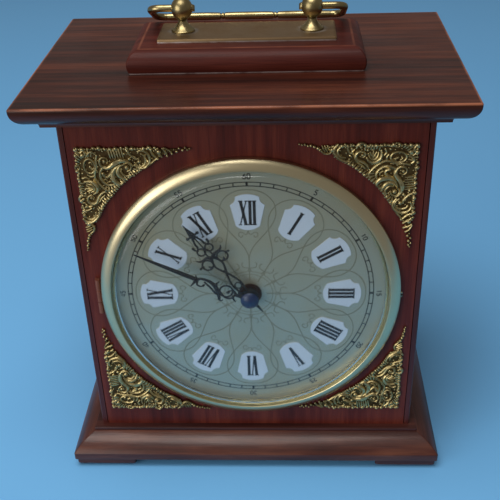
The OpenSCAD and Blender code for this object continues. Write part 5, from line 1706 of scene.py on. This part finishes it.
    def relief(self) -> Shell:
        """All the ornament, standing on the ground and cut off at its greatest height.

        Returns:
            The ornament in the drawing's place.
        """
        out = Shell()
        for add in (self.scrolls, self.flutes, self.edge_beads, self.filling):
            add(out)
        return out.moved(lambda p: np.c_[p[:, :2], np.clip(p[:, 2] + self.ground, 0.05, self.highest)])

    def pins(self) -> Shell:
        """The mount's round-headed pins, which go through it into the panel.

        Returns:
            The pins in the drawing's place.
        """
        out = Shell()
        pin = turned([[0, -4.8], [0.62, -4.8], [0.7, -4.6], [0.7, 1.2], [1.05, 1.25], [1.0, 1.75], [0.7, 2.1],
                      [0, 2.25]], 20)
        for x, y in self.PINS:
            out.join(pin.moved(lambda p, x=x, y=y: p + [x, -y, 0]))
        return out

    def in_corner(self, shell: Shell, k: int) -> Shell:
        """Sets the drawing into a corner.

        The drawing's y is up, so the arm that runs down has negative y: it is mirrored first, and the faces with it,
        and then turned by a quarter for each corner.

        Args:
            shell: what was drawn.
            k: the corner, anticlockwise from the upper right.

        Returns:
            The same in its corner.
        """
        side = 1 if k in (0, 3) else -1
        high = self.up if k < 2 else -self.down

        def place(p: Array) -> Array:
            """Mirrors, turns and shifts the points."""
            x, y = swung(p * [1, -1, 1], 180 + 90 * k)
            return np.stack([x + side * self.half_x, FRONT_Y - p[:, 2], DIAL_Z + y + high], 1)

        return shell.flipped().moved(place)

    def build(self) -> None:
        """Builds the casting and its ground in the four corners, and their pins."""
        relief, pins = self.relief(), Shell()
        plate = prism(self.outline()[::-1], 0.02, self.ground, self.HEART)
        for k, name in enumerate(("top_right", "top_left", "low_left", "low_right")):
            self.in_corner(relief, k).make(
                f"casting_{name}", Body.CASE, "brass", CAST_BRASS, 60, [f"mount_{name}"])
            self.in_corner(plate, k).make(f"casting_ground_{name}", Body.CASE, "brass", GROUND_BRASS, 30)
            pins.join(self.in_corner(self.pins(), k))
        pins.make("casting_pins", Body.CASE, "brass", CAST_BRASS, 60, ["mount_pins"])


@dataclass
class Movement:
    """Battery movement behind the dial; its CAD pieces keep their shapes."""

    def build(self) -> None:
        """Dresses every piece of the movement."""
        dress(BLACK_PLASTIC, "movement_case", "movement_cover", "set_knob")
        dress(PAD_FELT, "movement_gasket")
        dress(CIRCUIT_GREEN, "circuit_board")
        dress(COIL_WIRE, "coil")
        dress(PLAIN_STEEL, "motion_post", "minute_arbor", "battery_contacts")
        dress(WHITE_PLASTIC, "motion_wheel", "hour_wheel")
        dress(CELL_SLEEVE, "battery")


@dataclass
class BackDoor:
    """Hinged door in the back panel with its knob, hinges and catch."""

    knob: tuple[float, float, float] = (41.5, 54.25, 107.3)
    through: float = 7.1

    def knob_shell(self) -> Shell:
        """Turned knob on a rose, with its spindle through the door.

        Returns:
            The knob along the height axis.
        """
        spindle = [[0, -self.through], [1.05, -self.through], [1.05, -0.02]]
        rose = [[3.8, -0.02], [4.0, 0.2], [4.0, 0.7], [3.7, 1.0]]
        neck = [[2.1, 1.15], [1.8, 1.6], [1.75, 2.6]]
        ball = arc(0, 6.0, 3.4, -58, 86, 16)
        return turned(np.vstack([spindle, rose, neck, ball, [[0, 9.4]]]), 40)

    def build(self) -> None:
        """Builds the knob and dresses the hardware."""
        x, y, z = self.knob
        self.knob_shell().moved(lambda p: np.stack([p[:, 0] + x, y + p[:, 2], z - p[:, 1]], 1)).make(
            "turned_door_knob", Body.DOOR, "brass", HARDWARE_BRASS, 35, ["door_knob"])
        dress(HARDWARE_BRASS, "door_hinge_fixed", "door_hinge_moving", "door_hinge_pins", "door_hinge_screws",
              "door_leaf_screws")
        dress(BLACK_PLASTIC, "door_catch")
        dress(PLAIN_STEEL, "catch_plate")


@dataclass
class Studio:
    """Plain table top, two soft lamps, one dim plain tone all round, and the camera at the photograph's angle.

    eye is in millimetres and the angles are in degrees. The table gives half its width and its front and back edge
    in metres, and the lamps their place, aim, size, power and colour.
    """

    lens: float = 62.636
    shift_y: float = 0.1
    eye: tuple[float, float, float] = (20.56, -423.05, 347.53)
    pitch: float = -33.524
    roll: float = 1.9887
    yaw: float = 3.2286
    around: float = 0.2
    table: tuple[float, float, float] = (1.5, -0.25, 2.5)

    AROUND = (1.0, 0.96, 0.92, 1)
    LAMPS = {
        "window": ((-1.05, -1.1, 0.5), (0, 0, 0.12), 1.15, 12, (1.0, 0.98, 0.94)),
        "overhead": ((-0.2, -0.3, 1.5), (0, 0, 0.1), 0.9, 14, (1.0, 0.98, 0.95)),
    }

    def camera(self) -> None:
        """Sets the camera: turned by yaw about Z, then pitch about X, then roll about its own axis."""
        data = bpy.data.cameras.new("viewpoint")
        data.sensor_width, data.lens, data.shift_y = 36.0, self.lens, self.shift_y
        data.clip_start, data.clip_end = 0.01, 50
        m = (Matrix.Rotation(math.radians(self.yaw), 3, "Z") @ Matrix.Rotation(math.radians(self.pitch), 3, "X")
             @ Matrix.Rotation(math.radians(self.roll), 3, "Y"))
        right, ahead, up = m.col[0], m.col[1], m.col[2]
        turn = Matrix((right, up, -ahead)).transposed().to_4x4()
        camera = bpy.data.objects.new("viewpoint", data)
        bpy.context.scene.collection.objects.link(camera)
        camera.matrix_world = Matrix.Translation([v * MM for v in self.eye]) @ turn
        bpy.context.scene.camera = camera

    def lamp(self, name: str, place: Sequence[float], aim: Sequence[float], size: float, power: float,
             colour: Sequence[float]) -> None:
        """Adds a square soft lamp.

        Args:
            name: the lamp's name.
            place: where it hangs, in metres.
            aim: the point it is turned to, in metres.
            size: length of its sides, in metres.
            power: its power in watts.
            colour: red, green and blue of its light.
        """
        data = bpy.data.lights.new(name, "AREA")
        data.shape, data.size, data.energy, data.color = "SQUARE", size, power, colour
        lamp = bpy.data.objects.new(name, data)
        bpy.context.scene.collection.objects.link(lamp)
        way = np.array(place, float) - np.array(aim, float)
        way /= np.linalg.norm(way)
        side = np.cross([0, 0, 1], way)
        side /= np.linalg.norm(side)
        turn = Matrix(np.stack([side, np.cross(way, side), way], 1).tolist()).to_4x4()
        lamp.matrix_world = Matrix.Translation(place) @ turn

    def floor(self) -> None:
        """Adds the plain painted top that the clock stands on."""
        half, front, back = self.table
        mesh = bpy.data.meshes.new("floor")
        mesh.from_pydata([(-half, front, 0), (half, front, 0), (half, back, 0), (-half, back, 0)], [], [(0, 1, 2, 3)])
        floor = bpy.data.objects.new("floor", mesh)
        bpy.context.scene.collection.objects.link(floor)
        g = Graph("floor_paint")
        g.set(Base_Color=g.mix(g.noise(3.0, 2.0), srgb(112, 184, 240), srgb(118, 188, 242)), Roughness=0.6)
        mesh.materials.append(g.material)

    def build(self) -> None:
        """Builds the whole setting."""
        scene = bpy.context.scene
        scene.view_settings.view_transform = "Standard"
        scene.world = bpy.data.worlds.new("surroundings")
        scene.world.use_nodes = True
        tone = scene.world.node_tree.nodes["Background"].inputs
        tone["Color"].default_value, tone["Strength"].default_value = self.AROUND, self.around
        for name, (place, aim, size, power, colour) in self.LAMPS.items():
            self.lamp(name, place, aim, size, power, colour)
        self.floor()
        self.camera()


def main() -> None:
    """Builds the scene's classes in order."""
    logging.basicConfig(level=logging.INFO, format="%(name)s: %(message)s")
    for part in (Studio(), Case(), Handle(), Dial(), Hands(), GlazedBezel(), CornerMount(), Movement(), BackDoor()):
        part.build()


if __name__ == "__main__":
    main()
